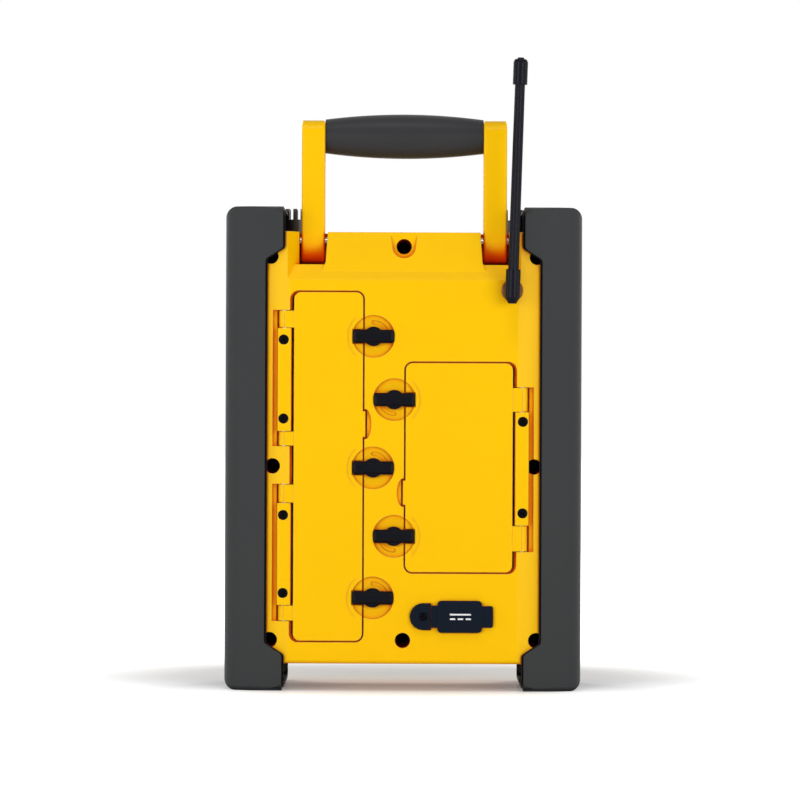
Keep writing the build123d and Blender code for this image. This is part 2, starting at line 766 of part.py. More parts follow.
with BuildPart() as front_housing:
    add(casing_outside)
    add(casing_inside, mode=Mode.SUBTRACT)
    for x, z in CASE_SCREWS:
        rod("Y", FRONT_INNER_Y, FRONT_SEAM_Y, (x, z), POST_RADIUS)
    add(casing_outside, mode=Mode.INTERSECT)
    for x, z in CASE_SCREWS:
        rod(
            "Y",
            WELL_FLOOR_Y - CASE_SCREW_LENGTH - CASE_SCREW_TIP_ROOM,
            FRONT_SEAM_Y,
            (x, z),
            CASE_SCREW_RADIUS + SEATED,
            mode=Mode.SUBTRACT,
        )
    # posts that carry the control board
    for x, z in board_holes:
        rod("Y", FRONT_INNER_Y, BOARD_Y, (x, z), BOARD_POST_RADIUS)
        screw_tip = BOARD_Y - BOARD_SCREW_LENGTH
        rod("Y", screw_tip, BOARD_Y, (x, z), BOARD_SCREW_RADIUS + SEATED, mode=Mode.SUBTRACT)
    # loudspeaker opening and its screw holes
    through = (FRONT_Y - 1.0, FRONT_INNER_Y + 1.0)
    rod("Y", *through, (0, SPEAKER_Z), SPEAKER_OPENING_RADIUS, mode=Mode.SUBTRACT)
    for x, z in speaker_holes:
        rod("Y", *through, (x, z), GRILLE_SCREW_RADIUS + 0.2, mode=Mode.SUBTRACT)
    # recess for the control panel, with the display and button openings
    with BuildSketch(across(PANEL_SEAT_Y)):
        with Locations((0, PANEL_MIDDLE_Z)):
            RectangleRounded(
                2 * PANEL_HALF_WIDTH + 0.4, PANEL_HIGH_Z - PANEL_LOW_Z + 0.4, PANEL_RADIUS + 0.2
            )
    extrude(amount=PANEL_RECESS + 1.0, mode=Mode.SUBTRACT)
    block(
        (-WINDOW_WIDTH / 2 + WINDOW_LEDGE, WINDOW_WIDTH / 2 - WINDOW_LEDGE),
        (FRONT_Y, FRONT_INNER_Y),
        (WINDOW_Z - WINDOW_HEIGHT / 2 + WINDOW_LEDGE, WINDOW_Z + WINDOW_HEIGHT / 2 - WINDOW_LEDGE),
        mode=Mode.SUBTRACT,
    )
    for x, z in button_places:
        block(
            (x - BUTTON_WIDTH / 2 - BUTTON_GAP, x + BUTTON_WIDTH / 2 + BUTTON_GAP),
            (FRONT_Y, FRONT_INNER_Y),
            (z - BUTTON_HEIGHT / 2 - BUTTON_GAP, z + BUTTON_HEIGHT / 2 + BUTTON_GAP),
            mode=Mode.SUBTRACT,
        )
    # holes for the knob stems
    for side in (1, -1):
        rod(
            "Z",
            CASING_TOP - SHELL_WALL - 1.0,
            CASING_TOP + 1.0,
            (side * KNOB_X, KNOB_Y),
            KNOB_HOLE_RADIUS,
            mode=Mode.SUBTRACT,
        )
    block((-FAR, FAR), (-FAR, FRONT_SEAM_Y), (0, FAR), mode=Mode.INTERSECT)
finish(front_housing, "front_housing")

with BuildPart() as case_seal:
    add(
        case_body(
            CASING_INSET + 0.6,
            CASING_BOTTOM + 0.6,
            CASING_TOP - 0.6,
            CASING_CORNER_RADIUS,
            CASING_EDGE_RADIUS,
        )
    )
    add(
        case_body(
            CASING_INSET + 0.6 + SEAL_WIDTH,
            CASING_BOTTOM + 0.6 + SEAL_WIDTH,
            CASING_TOP - 0.6 - SEAL_WIDTH,
            CASING_CORNER_RADIUS - SEAL_WIDTH,
            CASING_EDGE_RADIUS,
        ),
        mode=Mode.SUBTRACT,
    )
    block((-FAR, FAR), (FRONT_SEAM_Y, SEAM_Y), (0, FAR), mode=Mode.INTERSECT)
finish(case_seal, "case_seal")

with BuildPart() as case_screws:
    for x, z in CASE_SCREWS:
        rod("Y", WELL_FLOOR_Y - CASE_SCREW_LENGTH, WELL_FLOOR_Y, (x, z), CASE_SCREW_RADIUS)
        rod("Y", WELL_FLOOR_Y, WELL_FLOOR_Y + CASE_HEAD_HEIGHT, (x, z), CASE_HEAD_RADIUS)
finish(case_screws, "case_screws")

# ---------------------------------------------------------------- bumpers
bumper_outside = case_body(0.0, 0.0, CASE_HEIGHT, BUMPER_CORNER_RADIUS, BUMPER_CROWN_RADIUS)
bumper_inside = case_body(
    BUMPER_WALL,
    BUMPER_WALL,
    CASE_HEIGHT - BUMPER_WALL,
    BUMPER_CORNER_RADIUS - BUMPER_WALL,
    BUMPER_CROWN_RADIUS - BUMPER_WALL,
)
bumper_ledge = case_body(
    BUMPER_LEDGE_DROP,
    BUMPER_LEDGE_DROP,
    CASE_HEIGHT - BUMPER_LEDGE_DROP,
    BUMPER_CORNER_RADIUS - BUMPER_LEDGE_DROP,
    BUMPER_CROWN_RADIUS - BUMPER_LEDGE_DROP,
)


def bumper_window(side, inwards):
    """The open space between the two bumpers, seen from behind, with its edge moved inwards."""
    lip = side * (BUMPER_LIP_X - inwards)
    waist = side * (BUMPER_WAIST_X - inwards)
    beyond = -side * FAR
    with BuildPart() as window:
        with BuildSketch(across(FAR)):
            with BuildLine():
                FilletPolyline(
                    (beyond, CASE_HEIGHT + FAR),
                    (lip, CASE_HEIGHT + FAR),
                    (lip, BUMPER_STEP_TOP_Z),
                    (waist, BUMPER_STEP_TOP_Z - BUMPER_STEP_RISE),
                    (waist, BUMPER_STEP_BOTTOM_Z + BUMPER_STEP_RISE),
                    (lip, BUMPER_STEP_BOTTOM_Z),
                    (lip, -FAR),
                    (beyond, -FAR),
                    radius=[0, 0, *[BUMPER_STEP_RADIUS] * 4, 0, 0],
                    close=True,
                )
            make_face()
        extrude(amount=2 * FAR)
    return window.part


for side, name in ((1, "left_bumper"), (-1, "right_bumper")):
    with BuildPart() as bumper_skin:
        add(bumper_window(side, 0.0))
        add(bumper_ledge, mode=Mode.SUBTRACT)
    with BuildPart() as bumper:
        add(bumper_outside)
        add(bumper_inside, mode=Mode.SUBTRACT)
        add(bumper_window(side, BUMPER_LEDGE), mode=Mode.SUBTRACT)
        # the flanges' sunk edges
        add(bumper_skin.part, mode=Mode.SUBTRACT)
        # clearance around the knob
        rod(
            "Z",
            CASING_TOP + 1.0,
            FAR,
            (side * KNOB_X, KNOB_Y),
            KNOB_RADIUS + KNOB_WELL_CLEARANCE,
            mode=Mode.SUBTRACT,
        )
    finish(bumper, name)

# ---------------------------------------------------------------- doors, hinges and latches
door_nodes = {}
for door_name, door in DOORS.items():
    with BuildPart() as leaf:
        with BuildSketch(across(REAR_Y)):
            door_outline(door, 0.0)
            with Locations((door.x(door.free - FINGER_TAB / 2 + 1.0), sum(door.finger) / 2)):
                Rectangle(FINGER_TAB + 2.0, door.finger[1] - door.finger[0])
        extrude(amount=DOOR_THICKNESS)
        for low, high in door.tabs:
            rod("Z", low, high, (door.x(door.axis), HINGE_Y), KNUCKLE_RADIUS)
            block(
                (door.x(door.hinge - 1.0), door.x(door.axis)),
                (REAR_Y - DOOR_THICKNESS, REAR_Y - KNUCKLE_SHY),
                (low, high),
            )
            rod("Z", low, high, (door.x(door.axis), HINGE_Y), PIN_RADIUS + RUNNING, mode=Mode.SUBTRACT)
        for z in door.latches:
            dish_at = (door.x(door.latch_at), z)
            rod("Y", REAR_Y - DISH_DOOR_DEPTH, FAR, dish_at, DISH_RADIUS, mode=Mode.SUBTRACT)
            half = LATCH_WIDTH / 2 + KEEPER_GAP
            block(
                (door.x(door.free - 1.0), door.x(door.keeper_end)),
                (REAR_Y - DOOR_THICKNESS, REAR_Y),
                (z - half, z + half),
                mode=Mode.SUBTRACT,
            )
    finish(leaf, f"{door_name}_door")
    door_nodes[door_name] = leaf

    with BuildPart() as seal:
        middle = (door.x((door.seal_start + door.seal_end) / 2), (door.bottom + door.top) / 2)
        seal_width = door.seal_end - door.seal_start
        seal_height = door.top - door.bottom - 2.4
        with BuildSketch(across(REAR_Y - DOOR_THICKNESS)):
            with Locations(middle):
                RectangleRounded(seal_width, seal_height, 3.0)
                RectangleRounded(
                    seal_width - 2 * DOOR_SEAL_WIDTH,
                    seal_height - 2 * DOOR_SEAL_WIDTH,
                    1.2,
                    mode=Mode.SUBTRACT,
                )
        extrude(amount=COLLAR_DROP - DOOR_THICKNESS - DOOR_SEAL_GAP)
    finish(seal, f"{door_name}_door_seal")

    with BuildPart() as bars:
        for low, high in door.bars:
            half = BAR_HALF_WIDTH
            with BuildSketch(Plane.XY.offset(low)):
                with BuildLine():
                    FilletPolyline(
                        (door.x(door.axis - half), BAR_BOTTOM_Y),
                        (door.x(door.axis - half), REAR_Y),
                        (door.x(door.axis + half), REAR_Y),
                        (door.x(door.axis + half), BAR_BOTTOM_Y),
                        radius=[0, BAR_EDGE_RADIUS, BAR_EDGE_RADIUS, 0],
                        close=True,
                    )
                make_face()
            extrude(amount=high - low)
            for end, inward in ((low, 1), (high, -1)):
                rod(
                    "Z",
                    end - inward,
                    end + inward * PIN_IN_BAR,
                    (door.x(door.axis), HINGE_Y),
                    PIN_RADIUS + SEATED,
                    mode=Mode.SUBTRACT,
                )
        for z in door.bar_screws:
            screw_at = (door.x(door.axis + BAR_SCREW_OFFSET), z)
            rod("Y", BAR_BOTTOM_Y - 1.0, REAR_Y, screw_at, BAR_SCREW_RADIUS + SEATED, mode=Mode.SUBTRACT)
            rod(
                "Y",
                REAR_Y - BAR_SCREW_HEAD_HEIGHT - 0.2,
                FAR,
                screw_at,
                BAR_SCREW_HEAD_RADIUS + 0.1,
                mode=Mode.SUBTRACT,
            )
    finish(bars, f"{door_name}_hinge_bars" if len(door.bars) > 1 else f"{door_name}_hinge_bar")

with BuildPart() as hinge_pins:
    for door in DOORS.values():
        for low, high in door.tabs:
            above_bar = any(abs(low - bar[1]) < 1.0 for bar in door.bars)
            start = low - (PIN_IN_BAR if above_bar else PIN_IN_WALL)
            end = high + (PIN_IN_WALL if above_bar else PIN_IN_BAR)
            rod("Z", start + 0.1, end - 0.1, (door.x(door.axis), HINGE_Y), PIN_RADIUS)
finish(hinge_pins, "hinge_pins")

with BuildPart() as hinge_bar_screws:
    for door in DOORS.values():
        for z in door.bar_screws:
            screw_at = (door.x(door.axis + BAR_SCREW_OFFSET), z)
            head_bottom = REAR_Y - BAR_SCREW_HEAD_HEIGHT - 0.2
            rod("Y", head_bottom, REAR_Y - 0.2, screw_at, BAR_SCREW_HEAD_RADIUS)
            rod("Y", REAR_Y - BAR_SCREW_LENGTH, head_bottom, screw_at, BAR_SCREW_RADIUS)
finish(hinge_bar_screws, "hinge_bar_screws")

LATCH_NAMES = {"battery": ("top", "middle", "bottom"), "device": ("top", "bottom")}
for door_name, door in DOORS.items():
    latch_x = door.x(door.latch_at)
    for place, z in zip(LATCH_NAMES[door_name], door.latches):
        top = REAR_Y + LATCH_PROUD
        with BuildPart() as latch:
            with BuildSketch(across(top)):
                with Locations((latch_x, z)):
                    RectangleRounded(LATCH_LENGTH, LATCH_WIDTH, LATCH_CORNER_RADIUS)
            extrude(amount=top - LATCH_UNDERSIDE_Y)
            chamfer(latch.faces().sort_by(Axis.Y)[-1].edges(), length=LATCH_BEVEL)
            rod("Y", LATCH_UNDERSIDE_Y, REAR_Y + LATCH_BOSS_PROUD, (latch_x, z), LATCH_BOSS_RADIUS)
            rod("Y", COLLAR_Y - 1.6, LATCH_UNDERSIDE_Y, (latch_x, z), LATCH_SHAFT_RADIUS)
            rod("Y", COLLAR_Y - 1.6, COLLAR_Y - 0.3, (latch_x, z), LATCH_BARB_RADIUS)
            # stop pin below the end that stays over the casing
            rod(
                "Y",
                REAR_Y - DISH_DEPTH - STOP_TRACK_DEPTH + 0.3,
                LATCH_UNDERSIDE_Y,
                (latch_x - door.hand * STOP_TRACK_RADIUS, z),
                STOP_PIN_RADIUS,
            )
            # slit that lets the barbed end snap through its hole
            block(
                (latch_x - LATCH_SLIT / 2, latch_x + LATCH_SLIT / 2),
                (COLLAR_Y - 2.0, REAR_Y - DISH_DEPTH),
                (z - LATCH_BOSS_RADIUS, z + LATCH_BOSS_RADIUS),
                mode=Mode.SUBTRACT,
            )
        finish(latch, f"{door_name}_latch_{place}")


# ---------------------------------------------------------------- bays
def build_bay(door, floor_y):
    """A tub behind a door's opening, with a rim below the collar and a keeper block below each latch."""
    rim_low = door.bottom - DOOR_GAP - BAY_RIM_OVERLAP
    rim_high = door.top + DOOR_GAP + BAY_RIM_OVERLAP
    low = door.bottom + DOOR_SEAL_WIDTH + 1.5
    high = door.top - DOOR_SEAL_WIDTH - 1.5
    with BuildPart() as bay:
        block(
            (door.x(door.free - DOOR_GAP - BAY_RIM_OVERLAP), door.x(door.hinge + 0.1)),
            (COLLAR_Y - BAY_RIM_THICKNESS, COLLAR_Y),
            (rim_low, rim_high),
        )
        block(
            (door.x(door.bay_start - BAY_WALL), door.x(door.bay_end + BAY_WALL)),
            (floor_y - BAY_WALL, COLLAR_Y - BAY_RIM_THICKNESS),
            (low - BAY_WALL, high + BAY_WALL),
        )
        block(
            (door.x(door.bay_start), door.x(door.bay_end)),
            (floor_y, FAR),
            (low, high),
            mode=Mode.SUBTRACT,
        )
        half = LATCH_WIDTH / 2
        for z in door.latches:
            block(
                (door.x(door.free + KEEPER_GAP), door.x(door.keeper_end - KEEPER_GAP)),
                (COLLAR_Y, LATCH_UNDERSIDE_Y - DISH_FLOOR_GAP),
                (z - half, z + half),
            )
    return bay, low, high


BATTERY_FLOOR_Y = COLLAR_Y - 4 * CELL_RADIUS - 3 * CELL_PLAY
battery_bay, BATTERY_LOW_Z, BATTERY_HIGH_Z = build_bay(BATTERY_DOOR, BATTERY_FLOOR_Y)
finish(battery_bay, "battery_bay")

CELL_X = BATTERY_DOOR.x((BATTERY_DOOR.bay_start + BATTERY_DOOR.bay_end) / 2)
CELL_ROWS_Y = [
    BATTERY_FLOOR_Y + CELL_PLAY + CELL_RADIUS,
    BATTERY_FLOOR_Y + 2 * CELL_PLAY + 3 * CELL_RADIUS,
]
CONTACT_THICKNESS = 0.5
SPRING_WIRE_RADIUS = 0.5
SPRING_RADIUS = 6.5
SPRING_PITCH = 1.8
SPRING_HEIGHT = 7.2
SPRING_TAPER = 28.0

with BuildPart() as battery_contacts:
    for row_y in CELL_ROWS_Y:
        for start in (BATTERY_LOW_Z, BATTERY_HIGH_Z - CONTACT_THICKNESS):
            block(
                (CELL_X - 8.0, CELL_X + 8.0),
                (row_y - 8.0, row_y + 8.0),
                (start, start + CONTACT_THICKNESS),
            )
finish(battery_contacts, "battery_contacts")

with BuildPart() as battery_springs:
    for row_y in CELL_ROWS_Y:
        coil_base = (CELL_X, row_y, BATTERY_LOW_Z + CONTACT_THICKNESS + SPRING_WIRE_RADIUS + 0.02)
        coil = Helix(
            SPRING_PITCH, SPRING_HEIGHT, SPRING_RADIUS, center=coil_base, cone_angle=-SPRING_TAPER
        )
        with BuildSketch(Plane(origin=coil @ 0, z_dir=coil % 0)):
            Circle(SPRING_WIRE_RADIUS)
        sweep(path=coil, is_frenet=True)
finish(battery_springs, "battery_springs")

DEVICE_FLOOR_Y = COLLAR_Y - DEVICE_BAY_DEPTH
device_bay, DEVICE_LOW_Z, DEVICE_HIGH_Z = build_bay(DEVICE_DOOR, DEVICE_FLOOR_Y)
MAIN_BOARD_Y = DEVICE_FLOOR_Y - BAY_WALL - MAIN_BOARD_POST
main_board_holes = [
    (DEVICE_DOOR.x(u), z)
    for u in (DEVICE_DOOR.bay_start + 5.0, DEVICE_DOOR.bay_end - 5.0)
    for z in (DEVICE_LOW_Z + 8.0, DEVICE_HIGH_Z - 8.0)
]
SOCKET_X = DEVICE_DOOR.x((DEVICE_DOOR.bay_start + DEVICE_DOOR.bay_end) / 2)
SOCKET_Y = DEVICE_FLOOR_Y + DEVICE_BAY_DEPTH / 2
SOCKET_COLLAR_RADIUS = 4.0
SOCKET_BORE_RADIUS = 1.8  # for a 3.5 mm plug
with BuildPart() as device_bay_finished:
    add(device_bay.part)
    for x, z in main_board_holes:
        rod("Y", MAIN_BOARD_Y, DEVICE_FLOOR_Y - BAY_WALL, (x, z), BOARD_POST_RADIUS)
        screw_tip = MAIN_BOARD_Y + BOARD_SCREW_LENGTH
        rod("Y", MAIN_BOARD_Y, screw_tip, (x, z), BOARD_SCREW_RADIUS + SEATED, mode=Mode.SUBTRACT)
    rod(
        "Z",
        DEVICE_LOW_Z - BAY_WALL - 1.0,
        DEVICE_LOW_Z + 1.0,
        (SOCKET_X, SOCKET_Y),
        SOCKET_COLLAR_RADIUS + SEATED,
        mode=Mode.SUBTRACT,
    )
finish(device_bay_finished, "device_bay")

with BuildPart() as aux_socket:
    block(
        (SOCKET_X - 6.0, SOCKET_X + 6.0),
        (SOCKET_Y - 6.0, SOCKET_Y + 6.0),
        (DEVICE_LOW_Z - BAY_WALL - 13.0, DEVICE_LOW_Z - BAY_WALL),
    )
    rod("Z", DEVICE_LOW_Z - BAY_WALL, DEVICE_LOW_Z + 0.6, (SOCKET_X, SOCKET_Y), SOCKET_COLLAR_RADIUS)
    rod(
        "Z",
        DEVICE_LOW_Z - BAY_WALL - 11.0,
        DEVICE_LOW_Z + 1.0,
        (SOCKET_X, SOCKET_Y),
        SOCKET_BORE_RADIUS,
        mode=Mode.SUBTRACT,
    )
finish(aux_socket, "aux_socket")

with BuildPart() as main_board:
    block(
        (DEVICE_DOOR.x(DEVICE_DOOR.bay_start - 8.0), DEVICE_DOOR.x(DEVICE_DOOR.bay_end + 4.0)),
        (MAIN_BOARD_Y - BOARD_THICKNESS, MAIN_BOARD_Y),
        (DEVICE_LOW_Z, DEVICE_HIGH_Z),
    )
    for x, z in main_board_holes:
        hole = BOARD_SCREW_RADIUS + 0.3
        rod("Y", MAIN_BOARD_Y - 2.0, MAIN_BOARD_Y + 1.0, (x, z), hole, mode=Mode.SUBTRACT)
    # shielded tuner, amplifier with its heat sink, and reservoir capacitors
    board_mid_z = (DEVICE_LOW_Z + DEVICE_HIGH_Z) / 2
    board_face = MAIN_BOARD_Y - BOARD_THICKNESS
    block((-30.0, -10.0), (board_face - 5.4, board_face), (board_mid_z + 20, board_mid_z + 44))
    block((-54.0, -38.0), (board_face - 8.4, board_face), (board_mid_z - 40, board_mid_z - 24))
    for x in (-30.0, -16.0):
        rod("Y", board_face - 13.4, board_face, (x, board_mid_z - 30.0), 5.0)
finish(main_board, "main_board")

# ---------------------------------------------------------------- power inlet and cover
COVER_SCREW_SEAT_Y = REAR_Y + COVER_THICKNESS - 1.2
with BuildPart() as dc_cover_anchor:
    with BuildSketch(across(REAR_Y + COVER_THICKNESS)):
        with Locations((COVER_ANCHOR_X, INLET_Z)):
            Circle(COVER_ANCHOR_RADIUS)
        with Locations(((COVER_ANCHOR_X + COVER_NECK_X) / 2, INLET_Z)):
            Rectangle(COVER_ANCHOR_X - COVER_NECK_X, 2 * COVER_ANCHOR_RADIUS)
        # the disc ends at the straight edge that the neck starts from
        with Locations((COVER_NECK_X - COVER_ANCHOR_RADIUS, INLET_Z)):
            Rectangle(2 * COVER_ANCHOR_RADIUS, 4 * COVER_ANCHOR_RADIUS, mode=Mode.SUBTRACT)
    extrude(amount=COVER_THICKNESS)
    chamfer(dc_cover_anchor.faces().sort_by(Axis.Y)[-1].edges(), length=0.5)
    rod("Y", REAR_Y, FAR, (COVER_ANCHOR_X, INLET_Z), COVER_SCREW_RADIUS + SEATED, mode=Mode.SUBTRACT)
    rod(
        "Y",
        COVER_SCREW_SEAT_Y,
        FAR,
        (COVER_ANCHOR_X, INLET_Z),
        COVER_SCREW_HEAD_RADIUS + 0.1,
        mode=Mode.SUBTRACT,
    )
finish(dc_cover_anchor, "dc_cover_anchor")

with BuildPart() as dc_cover_screw:
    head_top = REAR_Y + COVER_THICKNESS + 0.3
    rod("Y", COVER_SCREW_SEAT_Y, head_top, (COVER_ANCHOR_X, INLET_Z), COVER_SCREW_HEAD_RADIUS)
    rod("Y", REAR_Y - 8.0, COVER_SCREW_SEAT_Y, (COVER_ANCHOR_X, INLET_Z), COVER_SCREW_RADIUS)
finish(dc_cover_screw, "dc_cover_screw")

with BuildPart() as dc_cover_flap:
    with BuildSketch(across(REAR_Y + COVER_LIFT + COVER_THICKNESS)):
        with Locations(((FLAP_START_X + FLAP_END_X) / 2, INLET_Z)):
            RectangleRounded(FLAP_START_X - FLAP_END_X, FLAP_HEIGHT, FLAP_RADIUS)
    extrude(amount=COVER_THICKNESS)
    chamfer(dc_cover_flap.faces().sort_by(Axis.Y)[-1].edges(), length=0.4)
    with BuildSketch(across(REAR_Y + COVER_LIFT + COVER_THICKNESS - COVER_STEP)):
        with Locations(((FLAP_END_X - TONGUE_LENGTH / 2) + 1.5, INLET_Z)):
            RectangleRounded(TONGUE_LENGTH + 3.0, TONGUE_HEIGHT, 1.4)
        with Locations(((COVER_NECK_X - 0.3 + FLAP_START_X - 1.0) / 2, INLET_Z)):
            Rectangle(COVER_NECK_X - 0.3 - FLAP_START_X + 1.0, NECK_HEIGHT)
    extrude(amount=COVER_THICKNESS - COVER_STEP)
    rod("Y", REAR_Y - 0.6, REAR_Y + COVER_LIFT, (INLET_X, INLET_Z), INLET_RADIUS - 0.9)
finish(dc_cover_flap, "dc_cover_flap")

with BuildPart() as dc_jack:
    rod("Y", REAR_INNER_Y - 12.0, REAR_Y - 1.0, (INLET_X, INLET_Z), INLET_RADIUS)
    rod("Y", REAR_INNER_Y - 2.0, REAR_INNER_Y, (INLET_X, INLET_Z), INLET_RADIUS + 2.4)
    rod("Y", REAR_INNER_Y - 10.0, FAR, (INLET_X, INLET_Z), 3.2, mode=Mode.SUBTRACT)
    rod("Y", REAR_INNER_Y - 11.0, REAR_Y - 2.0, (INLET_X, INLET_Z), 1.05)
finish(dc_jack, "dc_jack")

# ---------------------------------------------------------------- aerial
lean = radians(ANTENNA_LEAN)
mast_direction = (-sin(lean), 0, cos(lean))


def mast_plane(distance):
    """Sketch plane square to the mast, a distance up it from the swivel."""
    origin = (ANTENNA_X - distance * sin(lean), ANTENNA_Y, ANTENNA_Z + distance * cos(lean))
    return Plane(origin=origin, x_dir=(0, 1, 0), z_dir=mast_direction)


with BuildPart() as antenna_socket:
    rod("Y", REAR_Y, REAR_Y + SOCKET_FLANGE, (ANTENNA_X, ANTENNA_Z), SOCKET_FLANGE_RADIUS)
    chamfer(antenna_socket.faces().sort_by(Axis.Y)[-1].edges(), length=0.6)
    rod("Y", REAR_Y - SOCKET_LENGTH, REAR_Y, (ANTENNA_X, ANTENNA_Z), SOCKET_NECK_RADIUS)
    bore = STUB_RADIUS + RUNNING
    rod("Y", REAR_Y - SOCKET_LENGTH, FAR, (ANTENNA_X, ANTENNA_Z), bore, mode=Mode.SUBTRACT)
finish(antenna_socket, "antenna_socket")

with BuildPart() as antenna_nut:
    with BuildSketch(across(COLLAR_Y)):
        with Locations((ANTENNA_X, ANTENNA_Z)):
            RegularPolygon(NUT_ACROSS_CORNERS / 2, 6)
            Circle(SOCKET_NECK_RADIUS + SEATED, mode=Mode.SUBTRACT)
    extrude(amount=NUT_THICKNESS)
finish(antenna_nut, "antenna_nut")

with BuildPart() as antenna_boot:
    with BuildSketch(mast_plane(-BOOT_BELOW + BOOT_RADIUS * 0.8)):
        Circle(BOOT_RADIUS)
    extrude(amount=BOOT_BELOW + BOOT_ABOVE - BOOT_RADIUS * 0.8)
    with BuildSketch(mast_plane(-BOOT_BELOW)):
        Circle(BOOT_RADIUS * 0.55)
    with BuildSketch(mast_plane(-BOOT_BELOW + BOOT_RADIUS * 0.8)):
        Circle(BOOT_RADIUS)
    loft()
    rod("Y", REAR_Y - SOCKET_LENGTH - 0.4, ANTENNA_Y, (ANTENNA_X, ANTENNA_Z), STUB_RADIUS)
    barb = (REAR_Y - SOCKET_LENGTH - 1.9, REAR_Y - SOCKET_LENGTH - 0.3)
    rod("Y", *barb, (ANTENNA_X, ANTENNA_Z), STUB_RADIUS + 0.9)
    with BuildSketch(mast_plane(MAST_START - 0.2)):
        Circle(MAST_LOWER_RADIUS + SEATED)
    extrude(amount=BOOT_ABOVE, mode=Mode.SUBTRACT)
finish(antenna_boot, "antenna_boot")

with BuildPart() as antenna_mast:
    with BuildSketch(mast_plane(MAST_START)):
        Circle(MAST_LOWER_RADIUS)
    with BuildSketch(mast_plane(MAST_END)):
        Circle(MAST_UPPER_RADIUS)
    loft()
finish(antenna_mast, "antenna_mast")

with BuildPart() as antenna_tip:
    with BuildSketch(mast_plane(TIP_START)):
        Circle(TIP_RADIUS)
    extrude(amount=TIP_END - TIP_START)
    fillet(antenna_tip.edges().group_by(Axis.Z)[-1], radius=2.0)
    with BuildSketch(mast_plane(TIP_END)):
        Circle(NIPPLE_RADIUS)
    extrude(amount=NIPPLE_HEIGHT)
    with BuildSketch(mast_plane(TIP_START)):
        Circle(MAST_UPPER_RADIUS + 0.1)
    extrude(amount=MAST_END - TIP_START + 0.2, mode=Mode.SUBTRACT)
finish(antenna_tip, "antenna_tip")

# ---------------------------------------------------------------- handle
for side, name in ((1, "handle_arm_left"), (-1, "handle_arm_right")):
    with BuildPart() as arm:
        start = ARM_INNER_X if side > 0 else -ARM_INNER_X - ARM_THICKNESS
        with BuildSketch(along(start)):
            with BuildLine():
                front = PIVOT_Y - HUB_RADIUS
                rear = PIVOT_Y + HUB_RADIUS
                FilletPolyline(
                    (front, PIVOT_Z - HUB_RADIUS),
                    (rear, PIVOT_Z - HUB_RADIUS),
                    (rear, ARM_TOP_Z),
                    (front, ARM_TOP_Z),
                    radius=[HUB_RADIUS - 0.01, HUB_RADIUS - 0.01, ARM_TOP_RADIUS, ARM_TOP_RADIUS],
                    close=True,
                )
            make_face()
        extrude(amount=ARM_THICKNESS)
        outer_face = arm.faces().sort_by(Axis.X)[-1 if side > 0 else 0]
        inner_face = arm.faces().sort_by(Axis.X)[0 if side > 0 else -1]
        fillet(outer_face.edges() + inner_face.edges(), radius=ARM_EDGE_RADIUS)
        rod(
            "X",
            start - 1.0,
            start + ARM_THICKNESS + 1.0,
            (PIVOT_Y, PIVOT_Z),
            PIVOT_RADIUS + RUNNING,
            mode=Mode.SUBTRACT,
        )
        rod(
            "X",
            side * (ARM_INNER_X - 1.0),
            side * (ARM_INNER_X + CORE_SOCKET + 0.2),
            (PIVOT_Y, GRIP_Z),
            CORE_RADIUS + SEATED,
            mode=Mode.SUBTRACT,
        )
    finish(arm, name)

with BuildPart() as handle_core:
    core_end = ARM_INNER_X + CORE_SOCKET
    rod("X", -core_end, core_end, (PIVOT_Y, GRIP_Z), CORE_RADIUS)
finish(handle_core, "handle_core")

GRIP_END_X = ARM_INNER_X - 0.1
with BuildPart() as handle_grip:
    with BuildSketch(Plane.XY.offset(GRIP_Z)):
        with BuildLine():
            inner = PIVOT_Y + CORE_RADIUS + SEATED
            ThreePointArc(
                (-GRIP_END_X, PIVOT_Y + GRIP_END_RADIUS),
                (0, PIVOT_Y + GRIP_MID_RADIUS),
                (GRIP_END_X, PIVOT_Y + GRIP_END_RADIUS),
            )
            Polyline(
                (GRIP_END_X, PIVOT_Y + GRIP_END_RADIUS),
                (GRIP_END_X, inner),
                (-GRIP_END_X, inner),
                (-GRIP_END_X, PIVOT_Y + GRIP_END_RADIUS),
            )
        make_face()
    revolve(axis=Axis((0, PIVOT_Y, GRIP_Z), (1, 0, 0)))
finish(handle_grip, "handle_grip")

with BuildPart() as handle_pivots:
    for side in (1, -1):
        rod("X", side * (PIVOT_INNER_X - 0.9), side * PIVOT_OUTER_X, (PIVOT_Y, PIVOT_Z), PIVOT_RADIUS)
finish(handle_pivots, "handle_pivots")

